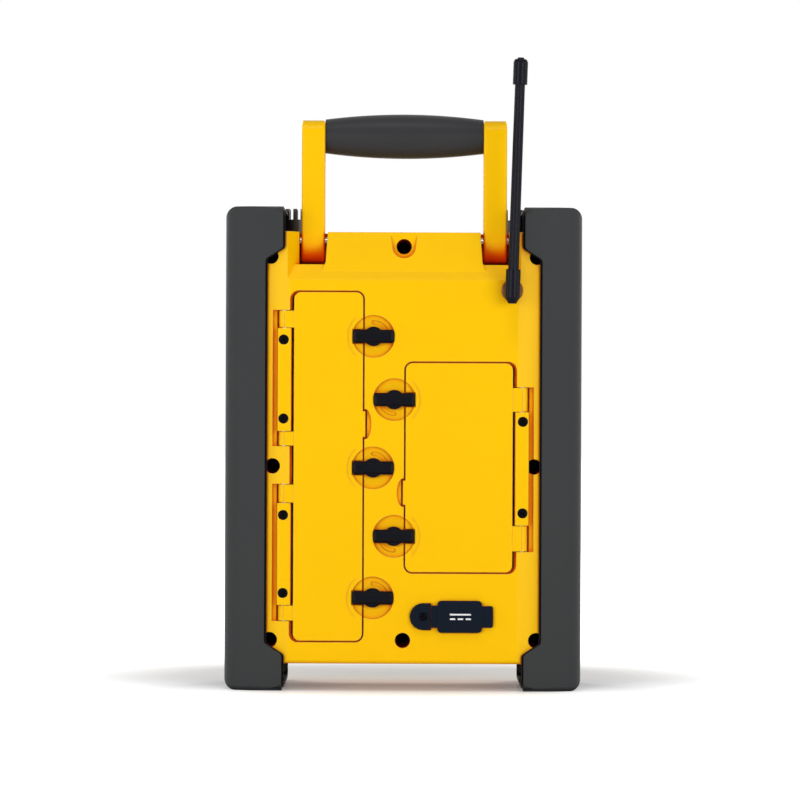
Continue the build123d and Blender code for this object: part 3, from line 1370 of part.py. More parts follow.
# ---------------------------------------------------------------- top knobs
for side, name, under_name in ((1, "volume_knob", "volume_pot"), (-1, "tuning_knob", "tuning_encoder")):
    knob_at = (side * KNOB_X, KNOB_Y)
    crown_low = KNOB_SEAT_Z + KNOB_HEIGHT - CROWN_TOOTH_HEIGHT
    with BuildPart() as knob:
        rod("Z", KNOB_SEAT_Z, KNOB_SEAT_Z + KNOB_HEIGHT, knob_at, KNOB_RADIUS)
        chamfer(knob.faces().sort_by(Axis.Z)[-1].edges(), length=0.6)
        rod("Z", crown_low - 1.0, FAR, knob_at, KNOB_RADIUS - CROWN_WALL, mode=Mode.SUBTRACT)
        with Locations((knob_at[0], knob_at[1], crown_low + CROWN_TOOTH_HEIGHT)):
            with PolarLocations(KNOB_RADIUS - CROWN_WALL / 2, CROWN_TEETH):
                Box(2 * CROWN_WALL, CROWN_GAP_WIDTH, 2 * CROWN_TOOTH_HEIGHT, mode=Mode.SUBTRACT)
        rod("Z", KNOB_SEAT_Z - KNOB_STEM_LENGTH, KNOB_SEAT_Z, knob_at, KNOB_STEM_RADIUS)
    finish(knob, name)
    pot_top = CASING_TOP - SHELL_WALL
    with BuildPart() as pot:
        rod("Z", pot_top - POT_HEIGHT, pot_top, knob_at, POT_RADIUS)
        stem_end = KNOB_SEAT_Z - KNOB_STEM_LENGTH - 0.4
        rod("Z", stem_end, FAR, knob_at, KNOB_STEM_RADIUS + RUNNING, mode=Mode.SUBTRACT)
    finish(pot, under_name)

# ---------------------------------------------------------------- loudspeaker
speaker_axis = Axis((0, 0, SPEAKER_Z), (0, 1, 0))
FLANGE_Y = FRONT_INNER_Y
BASKET_BACK_Y = FLANGE_Y + SPEAKER_DEPTH - MAGNET_DEPTH


def turned(points):
    """A body of revolution about the loudspeaker's axis, from (radius, Y) points."""
    with BuildPart() as body:
        with BuildSketch(Plane(origin=(0, 0, SPEAKER_Z), x_dir=(1, 0, 0), z_dir=(0, 0, 1))):
            with BuildLine():
                Polyline(*points, close=True)
            make_face()
        revolve(axis=speaker_axis)
    return body.part


with BuildPart() as speaker_basket:
    add(
        turned(
            [
                (RING_OUTER_RADIUS - 1.0, FLANGE_Y),
                (RING_OUTER_RADIUS - 1.0, FLANGE_Y + SPEAKER_FLANGE),
                (SPEAKER_OPENING_RADIUS, FLANGE_Y + SPEAKER_FLANGE),
                (MAGNET_RADIUS, BASKET_BACK_Y),
                (DUST_CAP_RADIUS, BASKET_BACK_Y),
                (DUST_CAP_RADIUS, BASKET_BACK_Y - 2.0),
                (MAGNET_RADIUS - 1.2, BASKET_BACK_Y - 2.0),
                (SPEAKER_OPENING_RADIUS - 2.2, FLANGE_Y + SPEAKER_FLANGE - 0.4),
                (SPEAKER_OPENING_RADIUS - 2.2, FLANGE_Y),
            ]
        )
    )
    for x, z in speaker_holes:
        hole = GRILLE_SCREW_RADIUS + SEATED
        rod("Y", FLANGE_Y - 1.0, FLANGE_Y + 3.0, (x, z), hole, mode=Mode.SUBTRACT)
finish(speaker_basket, "speaker_basket")

with BuildPart() as speaker_magnet:
    rod("Y", BASKET_BACK_Y, BASKET_BACK_Y + MAGNET_DEPTH, (0, SPEAKER_Z), MAGNET_RADIUS - 0.5)
    chamfer(speaker_magnet.faces().sort_by(Axis.Y)[-1].edges(), length=1.5)
finish(speaker_magnet, "speaker_magnet")

CONE_FRONT_Y = FLANGE_Y + 0.3
CONE_RADIUS = SPEAKER_OPENING_RADIUS - 2.6
with BuildPart() as speaker_cone:
    add(
        turned(
            [
                (CONE_RADIUS, CONE_FRONT_Y),
                (CONE_RADIUS, CONE_FRONT_Y + CONE_THICKNESS),
                (CONE_RADIUS - 7.0, CONE_FRONT_Y + CONE_THICKNESS),
                (DUST_CAP_RADIUS, BASKET_BACK_Y - 6.0),
                (0.0, BASKET_BACK_Y - 6.0),
                (0.0, BASKET_BACK_Y - 12.0),
                (DUST_CAP_RADIUS, BASKET_BACK_Y - 6.0 - 2.5),
                (CONE_RADIUS - 7.4, CONE_FRONT_Y),
            ]
        )
    )
finish(speaker_cone, "speaker_cone")

with BuildPart() as grille_ring:
    with BuildSketch(across(FRONT_Y)):
        with Locations((0, SPEAKER_Z)):
            Circle(RING_OUTER_RADIUS)
            Circle(RING_INNER_RADIUS, mode=Mode.SUBTRACT)
    extrude(amount=RING_PROUD)
    chamfer(grille_ring.faces().sort_by(Axis.Y)[0].edges(), length=0.8)
    # rebate that holds the grille against the casing
    rebate = (FRONT_Y - GRILLE_THICKNESS - 0.1, FRONT_Y)
    rod("Y", *rebate, (0, SPEAKER_Z), GRILLE_RADIUS + 0.2, mode=Mode.SUBTRACT)
    head_seat = FRONT_Y - RING_PROUD + 1.6
    for x, z in speaker_holes:
        rod("Y", -FAR, FRONT_Y, (x, z), GRILLE_SCREW_RADIUS + 0.2, mode=Mode.SUBTRACT)
        rod("Y", -FAR, head_seat, (x, z), GRILLE_SCREW_HEAD_RADIUS + 0.1, mode=Mode.SUBTRACT)
finish(grille_ring, "grille_ring")

DOME_HALF = RING_INNER_RADIUS - 0.4
DOME_RISE = GRILLE_PROUD - GRILLE_THICKNESS
DOME_SPHERE = (DOME_HALF**2 + DOME_RISE**2) / (2 * DOME_RISE)
with BuildPart() as speaker_grille:
    with BuildSketch(Plane(origin=(0, 0, SPEAKER_Z), x_dir=(1, 0, 0), z_dir=(0, 0, 1))):
        with BuildLine():
            outer_low = FRONT_Y - GRILLE_THICKNESS
            crown = FRONT_Y - GRILLE_PROUD
            bend = DOME_HALF / 2
            outer_bend = crown + DOME_SPHERE - (DOME_SPHERE**2 - bend**2) ** 0.5
            Polyline((GRILLE_RADIUS, FRONT_Y), (GRILLE_RADIUS, outer_low), (DOME_HALF, outer_low))
            ThreePointArc((DOME_HALF, outer_low), (bend, outer_bend), (0, crown))
            Line((0, crown), (0, crown + GRILLE_THICKNESS))
            ThreePointArc(
                (0, crown + GRILLE_THICKNESS), (bend, outer_bend + GRILLE_THICKNESS), (DOME_HALF, FRONT_Y)
            )
            Line((DOME_HALF, FRONT_Y), (GRILLE_RADIUS, FRONT_Y))
        make_face()
    revolve(axis=speaker_axis)
    # rows of slots, with an upright rib left between them in the middle
    rows = int((DOME_HALF - 4.0) / GRILLE_PITCH)
    for row in range(-rows, rows + 1):
        height = row * GRILLE_PITCH
        reach = ((DOME_HALF - 3.0) ** 2 - (abs(height) + GRILLE_SLOT / 2) ** 2) ** 0.5
        for side in (1, -1):
            block(
                (side * 2.0, side * reach),
                (FRONT_Y - GRILLE_PROUD - 1.0, FRONT_Y + 1.0),
                (SPEAKER_Z + height - GRILLE_SLOT / 2, SPEAKER_Z + height + GRILLE_SLOT / 2),
                mode=Mode.SUBTRACT,
            )
finish(speaker_grille, "speaker_grille")

with BuildPart() as grille_screws:
    for x, z in speaker_holes:
        head_top = FRONT_Y - RING_PROUD + 1.6
        rod("Y", head_top - 1.4, head_top, (x, z), GRILLE_SCREW_HEAD_RADIUS)
        rod("Y", head_top, head_top + GRILLE_SCREW_LENGTH, (x, z), GRILLE_SCREW_RADIUS)
finish(grille_screws, "grille_screws")

# ---------------------------------------------------------------- control panel
PANEL_FACE_Y = PANEL_SEAT_Y - PANEL_THICKNESS
with BuildPart() as control_panel:
    with BuildSketch(across(PANEL_SEAT_Y)):
        with Locations((0, PANEL_MIDDLE_Z)):
            RectangleRounded(2 * PANEL_HALF_WIDTH, PANEL_HIGH_Z - PANEL_LOW_Z, PANEL_RADIUS)
        with Locations((0, WINDOW_Z)):
            RectangleRounded(WINDOW_WIDTH + 0.2, WINDOW_HEIGHT + 0.2, 2.1, mode=Mode.SUBTRACT)
        for x, z in button_places:
            with Locations((x, z)):
                RectangleRounded(
                    BUTTON_WIDTH + 2 * BUTTON_GAP,
                    BUTTON_HEIGHT + 2 * BUTTON_GAP,
                    BUTTON_RADIUS + BUTTON_GAP,
                    mode=Mode.SUBTRACT,
                )
    extrude(amount=PANEL_THICKNESS)
    chamfer(control_panel.faces().sort_by(Axis.Y)[0].outer_wire().edges(), length=0.5)
finish(control_panel, "control_panel")

with BuildPart() as display_window:
    with BuildSketch(across(PANEL_SEAT_Y)):
        with Locations((0, WINDOW_Z)):
            RectangleRounded(WINDOW_WIDTH, WINDOW_HEIGHT, 2.0)
    extrude(amount=WINDOW_THICKNESS)
finish(display_window, "display_window")

display_edge = WINDOW_LEDGE + 1.0
with BuildPart() as display_module:
    block(
        (-WINDOW_WIDTH / 2 - 2.0, WINDOW_WIDTH / 2 + 2.0),
        (FRONT_INNER_Y + 1.0, BOARD_Y),
        (WINDOW_Z - WINDOW_HEIGHT / 2 - 2.0, WINDOW_Z + WINDOW_HEIGHT / 2 + 2.0),
    )
    block(
        (-WINDOW_WIDTH / 2 + display_edge, WINDOW_WIDTH / 2 - display_edge),
        (PANEL_SEAT_Y + 0.3, FRONT_INNER_Y + 1.0),
        (WINDOW_Z - WINDOW_HEIGHT / 2 + display_edge, WINDOW_Z + WINDOW_HEIGHT / 2 - display_edge),
    )
finish(display_module, "display_module")

BUTTON_BACK_Y = FRONT_INNER_Y + 0.2 + BUTTON_FLANGE
SWITCH_Y = BUTTON_BACK_Y + BUTTON_TRAVEL + 0.2
with BuildPart() as control_board:
    with BuildSketch(across(BOARD_Y + BOARD_THICKNESS)):
        with Locations((0, PANEL_MIDDLE_Z)):
            RectangleRounded(CONTROL_BOARD_WIDTH, CONTROL_BOARD_HEIGHT, 3.0)
        with Locations(*board_holes):
            Circle(BOARD_SCREW_RADIUS + 0.3, mode=Mode.SUBTRACT)
    extrude(amount=BOARD_THICKNESS)
    for x, z in button_places:
        block((x - 3.0, x + 3.0), (SWITCH_Y, BOARD_Y), (z - 3.0, z + 3.0))
finish(control_board, "control_board")

for index, (x, z) in enumerate(button_places, start=1):
    with BuildPart() as button:
        with BuildSketch(across(FRONT_INNER_Y + 0.2)):
            with Locations((x, z)):
                RectangleRounded(BUTTON_WIDTH, BUTTON_HEIGHT, BUTTON_RADIUS)
        extrude(amount=FRONT_INNER_Y + 0.2 - PANEL_FACE_Y + BUTTON_PROUD)
        fillet(button.faces().sort_by(Axis.Y)[0].edges(), radius=0.7)
        with BuildSketch(across(BUTTON_BACK_Y)):
            with Locations((x, z)):
                RectangleRounded(BUTTON_WIDTH + 2.4, BUTTON_HEIGHT + 2.4, BUTTON_RADIUS)
        extrude(amount=BUTTON_FLANGE)
    finish(button, f"button_{index}")

with BuildPart() as board_screws:
    for x, z in board_holes:
        head = BOARD_Y + BOARD_THICKNESS
        rod("Y", head, head + 1.4, (x, z), 2.2)
        rod("Y", head - BOARD_SCREW_LENGTH, head, (x, z), BOARD_SCREW_RADIUS)
    for x, z in main_board_holes:
        head = MAIN_BOARD_Y - BOARD_THICKNESS
        rod("Y", head - 1.4, head, (x, z), 2.2)
        rod("Y", head, head + BOARD_SCREW_LENGTH, (x, z), BOARD_SCREW_RADIUS)
finish(board_screws, "board_screws")
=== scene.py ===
"""Jobsite radio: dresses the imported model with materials, adds its small details and sets up the studio."""

from __future__ import annotations

import json
import logging
import math
from dataclasses import dataclass, field
from enum import Enum
from typing import Any, Iterable, Sequence

import bmesh
import bpy
from mathutils import Matrix, Vector

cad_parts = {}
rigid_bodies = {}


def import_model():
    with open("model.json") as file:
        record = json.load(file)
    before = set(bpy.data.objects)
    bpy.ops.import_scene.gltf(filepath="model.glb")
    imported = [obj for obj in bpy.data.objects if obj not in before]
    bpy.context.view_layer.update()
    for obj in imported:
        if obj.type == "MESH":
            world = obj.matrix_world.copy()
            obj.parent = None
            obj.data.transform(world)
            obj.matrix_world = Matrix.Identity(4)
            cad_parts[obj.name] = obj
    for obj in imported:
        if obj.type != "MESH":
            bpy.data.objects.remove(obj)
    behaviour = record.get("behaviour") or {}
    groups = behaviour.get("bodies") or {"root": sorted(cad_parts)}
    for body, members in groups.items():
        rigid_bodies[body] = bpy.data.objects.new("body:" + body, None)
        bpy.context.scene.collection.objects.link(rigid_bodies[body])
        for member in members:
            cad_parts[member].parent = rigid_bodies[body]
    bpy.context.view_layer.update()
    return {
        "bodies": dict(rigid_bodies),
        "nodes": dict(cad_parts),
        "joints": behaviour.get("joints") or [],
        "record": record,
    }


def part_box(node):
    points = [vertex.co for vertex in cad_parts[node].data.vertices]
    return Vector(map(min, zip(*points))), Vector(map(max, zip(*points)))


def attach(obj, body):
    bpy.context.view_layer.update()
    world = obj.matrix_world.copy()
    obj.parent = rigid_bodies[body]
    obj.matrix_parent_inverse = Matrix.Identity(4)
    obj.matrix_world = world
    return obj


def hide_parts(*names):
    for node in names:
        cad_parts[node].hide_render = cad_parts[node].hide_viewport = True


LOG = logging.getLogger("radio")
MM = 0.001


# ------------------------------------------------------------------ colours and nodes
def linear(hex_colour: str) -> tuple[float, float, float, float]:
    """Turns an sRGB hex colour into linear light.

    Args:
        hex_colour: Six hex digits after a hash sign.

    Returns:
        Red, green, blue and an alpha of one.
    """
    channels = [int(hex_colour[i : i + 2], 16) / 255 for i in (1, 3, 5)]
    light = [c / 12.92 if c <= 0.04045 else ((c + 0.055) / 1.055) ** 2.4 for c in channels]
    return (light[0], light[1], light[2], 1.0)


def add_node(
    tree: bpy.types.NodeTree,
    kind: str,
    settings: dict[Any, Any] | None = None,
    links: dict[Any, bpy.types.NodeSocket] | None = None,
) -> bpy.types.Node:
    """Adds a shader node with its settings and the links into it.

    Args:
        tree: The node tree that takes the node.
        kind: The node's type name after "ShaderNode".
        settings: Values by attribute name, by socket name or by socket number.
        links: Source sockets by socket name or number.

    Returns:
        The new node.
    """
    node = tree.nodes.new("ShaderNode" + kind)
    for key, value in (settings or {}).items():
        if isinstance(key, str) and hasattr(node, key):
            setattr(node, key, value)
        else:
            node.inputs[key].default_value = value
    for key, source in (links or {}).items():
        tree.links.new(source, node.inputs[key])
    return node


def new_material(name: str) -> tuple[bpy.types.Material, bpy.types.NodeTree]:
    """Makes an empty node material.

    Args:
        name: The material's name.

    Returns:
        The material and its empty node tree.
    """
    material = bpy.data.materials.new(name)
    material.use_nodes = True
    material.node_tree.nodes.clear()
    return material, material.node_tree


def per_metre(size_mm: float) -> float:
    """The noise scale whose features are about size_mm across."""
    return 1.0 / (size_mm * MM)


@dataclass(frozen=True)
class Moulded:
    """A moulded plastic or rubber with the texture of its mould.

    The spark-eroded or blasted mould leaves a fine grain that breaks up the gloss. Broad, faint shifts of
    tone come from the flow of the melt. Corners are rounded by bevelled normals and carry a painted
    highlight, and recesses can carry a painted shade found by ambient occlusion.
    """

    name: str
    colour: str
    shade: str
    # painted highlight colour laid along edges and corners
    rubbed: str
    roughness: float
    roughness_shift: float = 0.06
    grain_mm: float = 0.9  # drawn coarser than the mould's 0.1 mm so that it shows
    grain_height_mm: float = 0.02
    flow_mm: float = 60.0
    edge_mm: float = 0.45
    # strength of the painted edge highlight
    rub: float = 0.5
    ior: float = 1.5
    specular: float = 0.5
    coat: float = 0.0
    # painted shade colour for recesses and gaps, found by ambient occlusion; empty leaves it out
    crevice: str = ""
    crevice_mm: float = 22.0
    crevice_starts: float = 0.7
    crevice_full: float = 0.27

    def make(self) -> bpy.types.Material:
        """Builds the material.

        Returns:
            The node material.
        """
        material, tree = new_material(self.name)
        place = add_node(tree, "TexCoord").outputs["Object"]
        flow = add_node(
            tree, "TexNoise", {"Scale": per_metre(self.flow_mm), "Detail": 2.0}, {"Vector": place}
        )
        tone = add_node(
            tree,
            "Mix",
            {"data_type": "RGBA", 6: linear(self.colour), 7: linear(self.shade)},
            {0: flow.outputs["Fac"]},
        )
        rounded = add_node(tree, "Bevel", {"samples": 4, "Radius": self.edge_mm * MM})
        flat = add_node(tree, "NewGeometry").outputs["Normal"]
        facing = add_node(
            tree, "VectorMath", {"operation": "DOT_PRODUCT"}, {0: rounded.outputs["Normal"], 1: flat}
        )
        # Painted highlight: edges, where the bevelled normal leans off the true normal, are lightened.
        corner = add_node(
            tree,
            "MapRange",
            {"From Min": 0.97, "From Max": 0.8, "To Min": 0.0, "To Max": self.rub},
            {"Value": facing.outputs["Value"]},
        ).outputs["Result"]
        base = tone.outputs[2]
        # Painted shade: ambient occlusion darkens recesses and gaps toward the shade colour, and keeps the
        # painted highlight off concave corners.
        if self.crevice:
            walls = add_node(tree, "AmbientOcclusion", {"samples": 6, "Distance": self.crevice_mm * MM})
            painted_shade_mask = add_node(
                tree,
                "MapRange",
                {"From Min": self.crevice_starts, "From Max": self.crevice_full},
                {"Value": walls.outputs["AO"]},
            ).outputs["Result"]
            base = add_node(
                tree, "Mix", {"data_type": "RGBA", 7: linear(self.crevice)}, {0: painted_shade_mask, 6: base}
            ).outputs[2]
            open_air = add_node(
                tree, "MapRange", {"From Min": 0.65, "From Max": 0.9}, {"Value": walls.outputs["AO"]}
            ).outputs["Result"]
            corner = add_node(
                tree, "Math", {"operation": "MULTIPLY"}, {0: corner, 1: open_air}
            ).outputs["Value"]
        rubbed = add_node(
            tree, "Mix", {"data_type": "RGBA", 7: linear(self.rubbed)}, {0: corner, 6: base}
        )
        grain = add_node(
            tree,
            "TexNoise",
            {"Scale": per_metre(self.grain_mm), "Detail": 3.0, "Roughness": 0.6},
            {"Vector": place},
        )
        gloss = add_node(
            tree,
            "MapRange",
            {
                "From Min": 0.3,
                "From Max": 0.7,
                "To Min": self.roughness - self.roughness_shift,
                "To Max": self.roughness + self.roughness_shift,
            },
            {"Value": grain.outputs["Fac"]},
        )
        bump = add_node(
            tree,
            "Bump",
            {"Strength": 0.6, "Distance": self.grain_height_mm * MM},
            {"Height": grain.outputs["Fac"], "Normal": rounded.outputs["Normal"]},
        )
        shader = add_node(
            tree,
            "BsdfPrincipled",
            {
                "IOR": self.ior,
                "Specular IOR Level": self.specular,
                "Coat Weight": self.coat,
                "Coat Roughness": 0.08,
            },
            {
                "Base Color": rubbed.outputs[2],
                "Roughness": gloss.outputs["Result"],
                "Normal": bump.outputs["Normal"],
            },
        )
        add_node(tree, "OutputMaterial", {}, {"Surface": shader.outputs["BSDF"]})
        return material


@dataclass(frozen=True)
class Metal:
    """A plated, turned, drawn or stamped metal.

    The tool's marks run in fine lines along one direction, so the highlight spreads across them.
    """

    name: str
    colour: str
    stain: str
    roughness: float
    mark_mm: float = 0.6
    mark_stretch: tuple[float, float, float] = (1.0, 1.0, 6.0)
    mark_height_mm: float = 0.008
    edge_mm: float = 0.25

    def make(self) -> bpy.types.Material:
        """Builds the material.

        Returns:
            The node material.
        """
        material, tree = new_material(self.name)
        place = add_node(tree, "TexCoord").outputs["Object"]
        lined = add_node(tree, "Mapping", {"Scale": self.mark_stretch}, {"Vector": place})
        marks = add_node(
            tree,
            "TexNoise",
            {"Scale": per_metre(self.mark_mm), "Detail": 4.0},
            {"Vector": lined.outputs["Vector"]},
        )
        stains = add_node(tree, "TexNoise", {"Scale": per_metre(6.0), "Detail": 3.0}, {"Vector": place})
        tone = add_node(
            tree,
            "Mix",
            {"data_type": "RGBA", 6: linear(self.colour), 7: linear(self.stain)},
            {0: stains.outputs["Fac"]},
        )
        gloss = add_node(
            tree,
            "MapRange",
            {"To Min": self.roughness * 0.75, "To Max": self.roughness * 1.3},
            {"Value": marks.outputs["Fac"]},
        )
        rounded = add_node(tree, "Bevel", {"samples": 4, "Radius": self.edge_mm * MM})
        bump = add_node(
            tree,
            "Bump",
            {"Strength": 0.5, "Distance": self.mark_height_mm * MM},
            {"Height": marks.outputs["Fac"], "Normal": rounded.outputs["Normal"]},
        )
        shader = add_node(
            tree,
            "BsdfPrincipled",
            {"Metallic": 1.0},
            {
                "Base Color": tone.outputs[2],
                "Roughness": gloss.outputs["Result"],
                "Normal": bump.outputs["Normal"],
            },
        )
        add_node(tree, "OutputMaterial", {}, {"Surface": shader.outputs["BSDF"]})
        return material


@dataclass(frozen=True)
class Speckled:
    """A coated, pressed or laminated surface with a visible cell pattern.

    Powder coat flows into an orange-peel of small hills, paper pulp lies in short fibres, and a
    circuit board's solder mask dips between its copper tracks.
    """

    name: str
    colour: str
    fleck: str
    roughness: float
    cell_mm: float
    cell_height_mm: float
    stretch: tuple[float, float, float] = (1.0, 1.0, 1.0)
    fleck_share: float = 0.35

    def make(self) -> bpy.types.Material:
        """Builds the material.

        Returns:
            The node material.
        """
        material, tree = new_material(self.name)
        place = add_node(tree, "TexCoord").outputs["Object"]
        laid = add_node(tree, "Mapping", {"Scale": self.stretch}, {"Vector": place}).outputs["Vector"]
        cells = add_node(tree, "TexVoronoi", {"Scale": per_metre(self.cell_mm)}, {"Vector": laid})
        share = add_node(
            tree,
            "MapRange",
            {"To Min": 0.0, "To Max": self.fleck_share},
            {"Value": cells.outputs["Distance"]},
        )
        tone = add_node(
            tree,
            "Mix",
            {"data_type": "RGBA", 6: linear(self.colour), 7: linear(self.fleck)},
            {0: share.outputs["Result"]},
        )
        bump = add_node(
            tree,
            "Bump",
            {"Strength": 0.7, "Distance": self.cell_height_mm * MM},
            {"Height": cells.outputs["Distance"]},
        )
        shader = add_node(
            tree,
            "BsdfPrincipled",
            {"Roughness": self.roughness},
            {"Base Color": tone.outputs[2], "Normal": bump.outputs["Normal"]},
        )
        add_node(tree, "OutputMaterial", {}, {"Surface": shader.outputs["BSDF"]})
        return material


@dataclass(frozen=True)
class ClearSheet:
    """Cast acrylic, clear with a polished face that carries faint wiping marks."""

    name: str
    tint: str
    roughness: float = 0.04

    def make(self) -> bpy.types.Material:
        """Builds the material.

        Returns:
            The node material.
        """
        material, tree = new_material(self.name)
        place = add_node(tree, "TexCoord").outputs["Object"]
        wipes = add_node(tree, "Mapping", {"Scale": (1.0, 1.0, 5.0)}, {"Vector": place}).outputs["Vector"]
        marks = add_node(tree, "TexNoise", {"Scale": per_metre(9.0), "Detail": 4.0}, {"Vector": wipes})
        gloss = add_node(
            tree,
            "MapRange",
            {"To Min": self.roughness * 0.5, "To Max": self.roughness * 2.0},
            {"Value": marks.outputs["Fac"]},
        )
        shader = add_node(
            tree,
            "BsdfPrincipled",
            {"Base Color": linear(self.tint), "Transmission Weight": 1.0, "IOR": 1.49},
            {"Roughness": gloss.outputs["Result"]},
        )
        add_node(tree, "OutputMaterial", {}, {"Surface": shader.outputs["BSDF"]})
        return material


# ------------------------------------------------------------------ the radio's finishes
# Impact-modified ABS in signal yellow, from a spark-eroded mould: an even satin face, with a painted orange
# shade in its recesses that stands in for light bouncing between its own walls, and a painted pale highlight
# on its edges.
YELLOW_ABS = Moulded(
    "yellow_abs_moulded",
    "#FFC700",
    "#FDC400",
    "#FFDC6E",
    0.33,
    grain_mm=0.8,
    grain_height_mm=0.012,
    edge_mm=0.75,
    rub=0.6,
    specular=0.09,
    crevice="#E85A00",
)
# Soft-touch polypropylene blend from a blasted mould: a deep, dull grey that pales at grazing light, with a
# painted black shade in the narrow gap along its sunk edges and where it stands on the floor, and a painted
# pale highlight on its edges.
BUMPER_TPE = Moulded(
    "grey_tpe_moulded",
    "#353637",
    "#313233",
    "#48494B",
    0.5,
    grain_mm=1.1,
    grain_height_mm=0.03,
    edge_mm=0.8,
    rub=0.5,
    specular=0.12,
    crevice="#08080A",
    crevice_mm=3.0,
    crevice_starts=0.93,
    crevice_full=0.8,
)
# Glass-filled nylon, moulded: near black with a tight gloss on its bevels, which also carry a painted
# highlight.
BLACK_NYLON = Moulded(
    "black_nylon_moulded",
    "#0C0E15",
    "#0A0B12",
    "#2A2B35",
    0.34,
    grain_mm=0.6,
    grain_height_mm=0.01,
    specular=0.06,
)
# Thermoplastic elastomer over the grip's core: soft black with a broad, low highlight.
GRIP_TPE = Moulded(
    "black_tpe_overmoulded",
    "#343436",
    "#303032",
    "#434346",
    0.42,
    grain_mm=1.0,
    grain_height_mm=0.03,
    edge_mm=0.8,
    specular=0.12,
)
# Nitrile rubber cord of the seals: dull and dark.
SEAL_RUBBER = Moulded("black_nitrile_extruded", "#161616", "#111111", "#242424", 0.7, grain_mm=0.7)
# Santoprene of the inlet's cover: blue-grey black, powdery where it flexes.
COVER_RUBBER = Moulded(
    "slate_santoprene_moulded",
    "#151D29",
    "#131A25",
    "#2E3644",
    0.5,
    grain_mm=0.7,
    grain_height_mm=0.02,
    edge_mm=0.5,
    specular=0.03,
)
# Dipped rubber sleeve of the whip: black with a long narrow highlight.
WHIP_RUBBER = Moulded(
    "black_sleeve_dipped",
    "#0E0F1A",
    "#0B0C16",
    "#262834",
    0.28,
    grain_mm=2.4,
    grain_height_mm=0.02,
    specular=0.07,
)
# ABS of the knobs, moulded satin.
KNOB_ABS = Moulded(
    "black_abs_moulded", "#141416", "#101012", "#2E2E31", 0.38, grain_mm=0.7, grain_height_mm=0.012
)
# Control panel in polished ABS under a hard coat: deep black that mirrors softly.
PANEL_ABS = Moulded(
    "black_abs_polished",
    "#0D0E10",
    "#0B0C0E",
    "#26272A",
    0.16,
    roughness_shift=0.03,
    grain_height_mm=0.002,
    coat=0.6,
)
# Silicone keys: matt dark grey.
KEY_SILICONE = Moulded(
    "grey_silicone_moulded", "#3E4045", "#393B40", "#55585E", 0.6, grain_mm=0.6, edge_mm=0.6
)
# White pad-printed ink, a little chalky.
WHITE_INK = Moulded(
    "white_ink_printed", "#F2F3F4", "#E9EAEB", "#FFFFFF", 0.55, grain_mm=0.5, grain_height_mm=0.004
)
# Liquid crystal's polariser: grey-green and flat.
POLARISER = Moulded(
    "display_polariser_laminated", "#8E9A86", "#87937F", "#98A48F", 0.35, grain_height_mm=0.002
)
# Liquid crystal segments that are switched on.
SEGMENT = Moulded("display_segment_inked", "#20261F", "#1C221B", "#20261F", 0.4, grain_height_mm=0.002)
# Turned brass under a dark bronze plate: warm brown with round tool marks.
BRONZE = Metal("brass_turned_bronze_plated", "#7A5232", "#5A3A22", 0.32, mark_mm=0.5)
# Black-oxide steel of the screws: dark with a faint steel glint on the worn recess.
BLACK_OXIDE = Metal("steel_black_oxide", "#101014", "#0B0B0E", 0.42, mark_mm=0.4)
# Zinc-plated steel pins and screws: pale with grey stains.
ZINC_STEEL = Metal("steel_zinc_plated", "#B9BBBC", "#9A9C9E", 0.28, mark_mm=0.4)
# Nickel-plated spring wire and contacts.
NICKEL = Metal("steel_nickel_plated", "#CFC9BC", "#B8B1A2", 0.2, mark_mm=0.3)
# Black powder coat on the steel grille and basket: small orange-peel hills.
POWDER_COAT = Speckled("steel_powder_coated", "#121214", "#1E1E21", 0.5, cell_mm=1.2, cell_height_mm=0.03)
# Pressed paper pulp of the cone.
PAPER_PULP = Speckled(
    "paper_pulp_pressed",
    "#1A1A1B",
    "#323232",
    0.85,
    cell_mm=1.6,
    cell_height_mm=0.08,
    stretch=(1.0, 0.4, 1.0),
)
# Sintered ferrite of the magnet.
FERRITE = Speckled("ferrite_sintered", "#2B2B2D", "#3A3A3C", 0.7, cell_mm=1.0, cell_height_mm=0.03)
# Glass-fibre laminate under green solder mask.
LAMINATE = Speckled(
    "laminate_solder_masked",
    "#12492B",
    "#1F6A3C",
    0.35,
    cell_mm=3.0,
    cell_height_mm=0.04,
    stretch=(1.0, 1.0, 3.0),
)
# Clear acrylic of the display's window.
ACRYLIC = ClearSheet("acrylic_cast", "#F4F7F7")

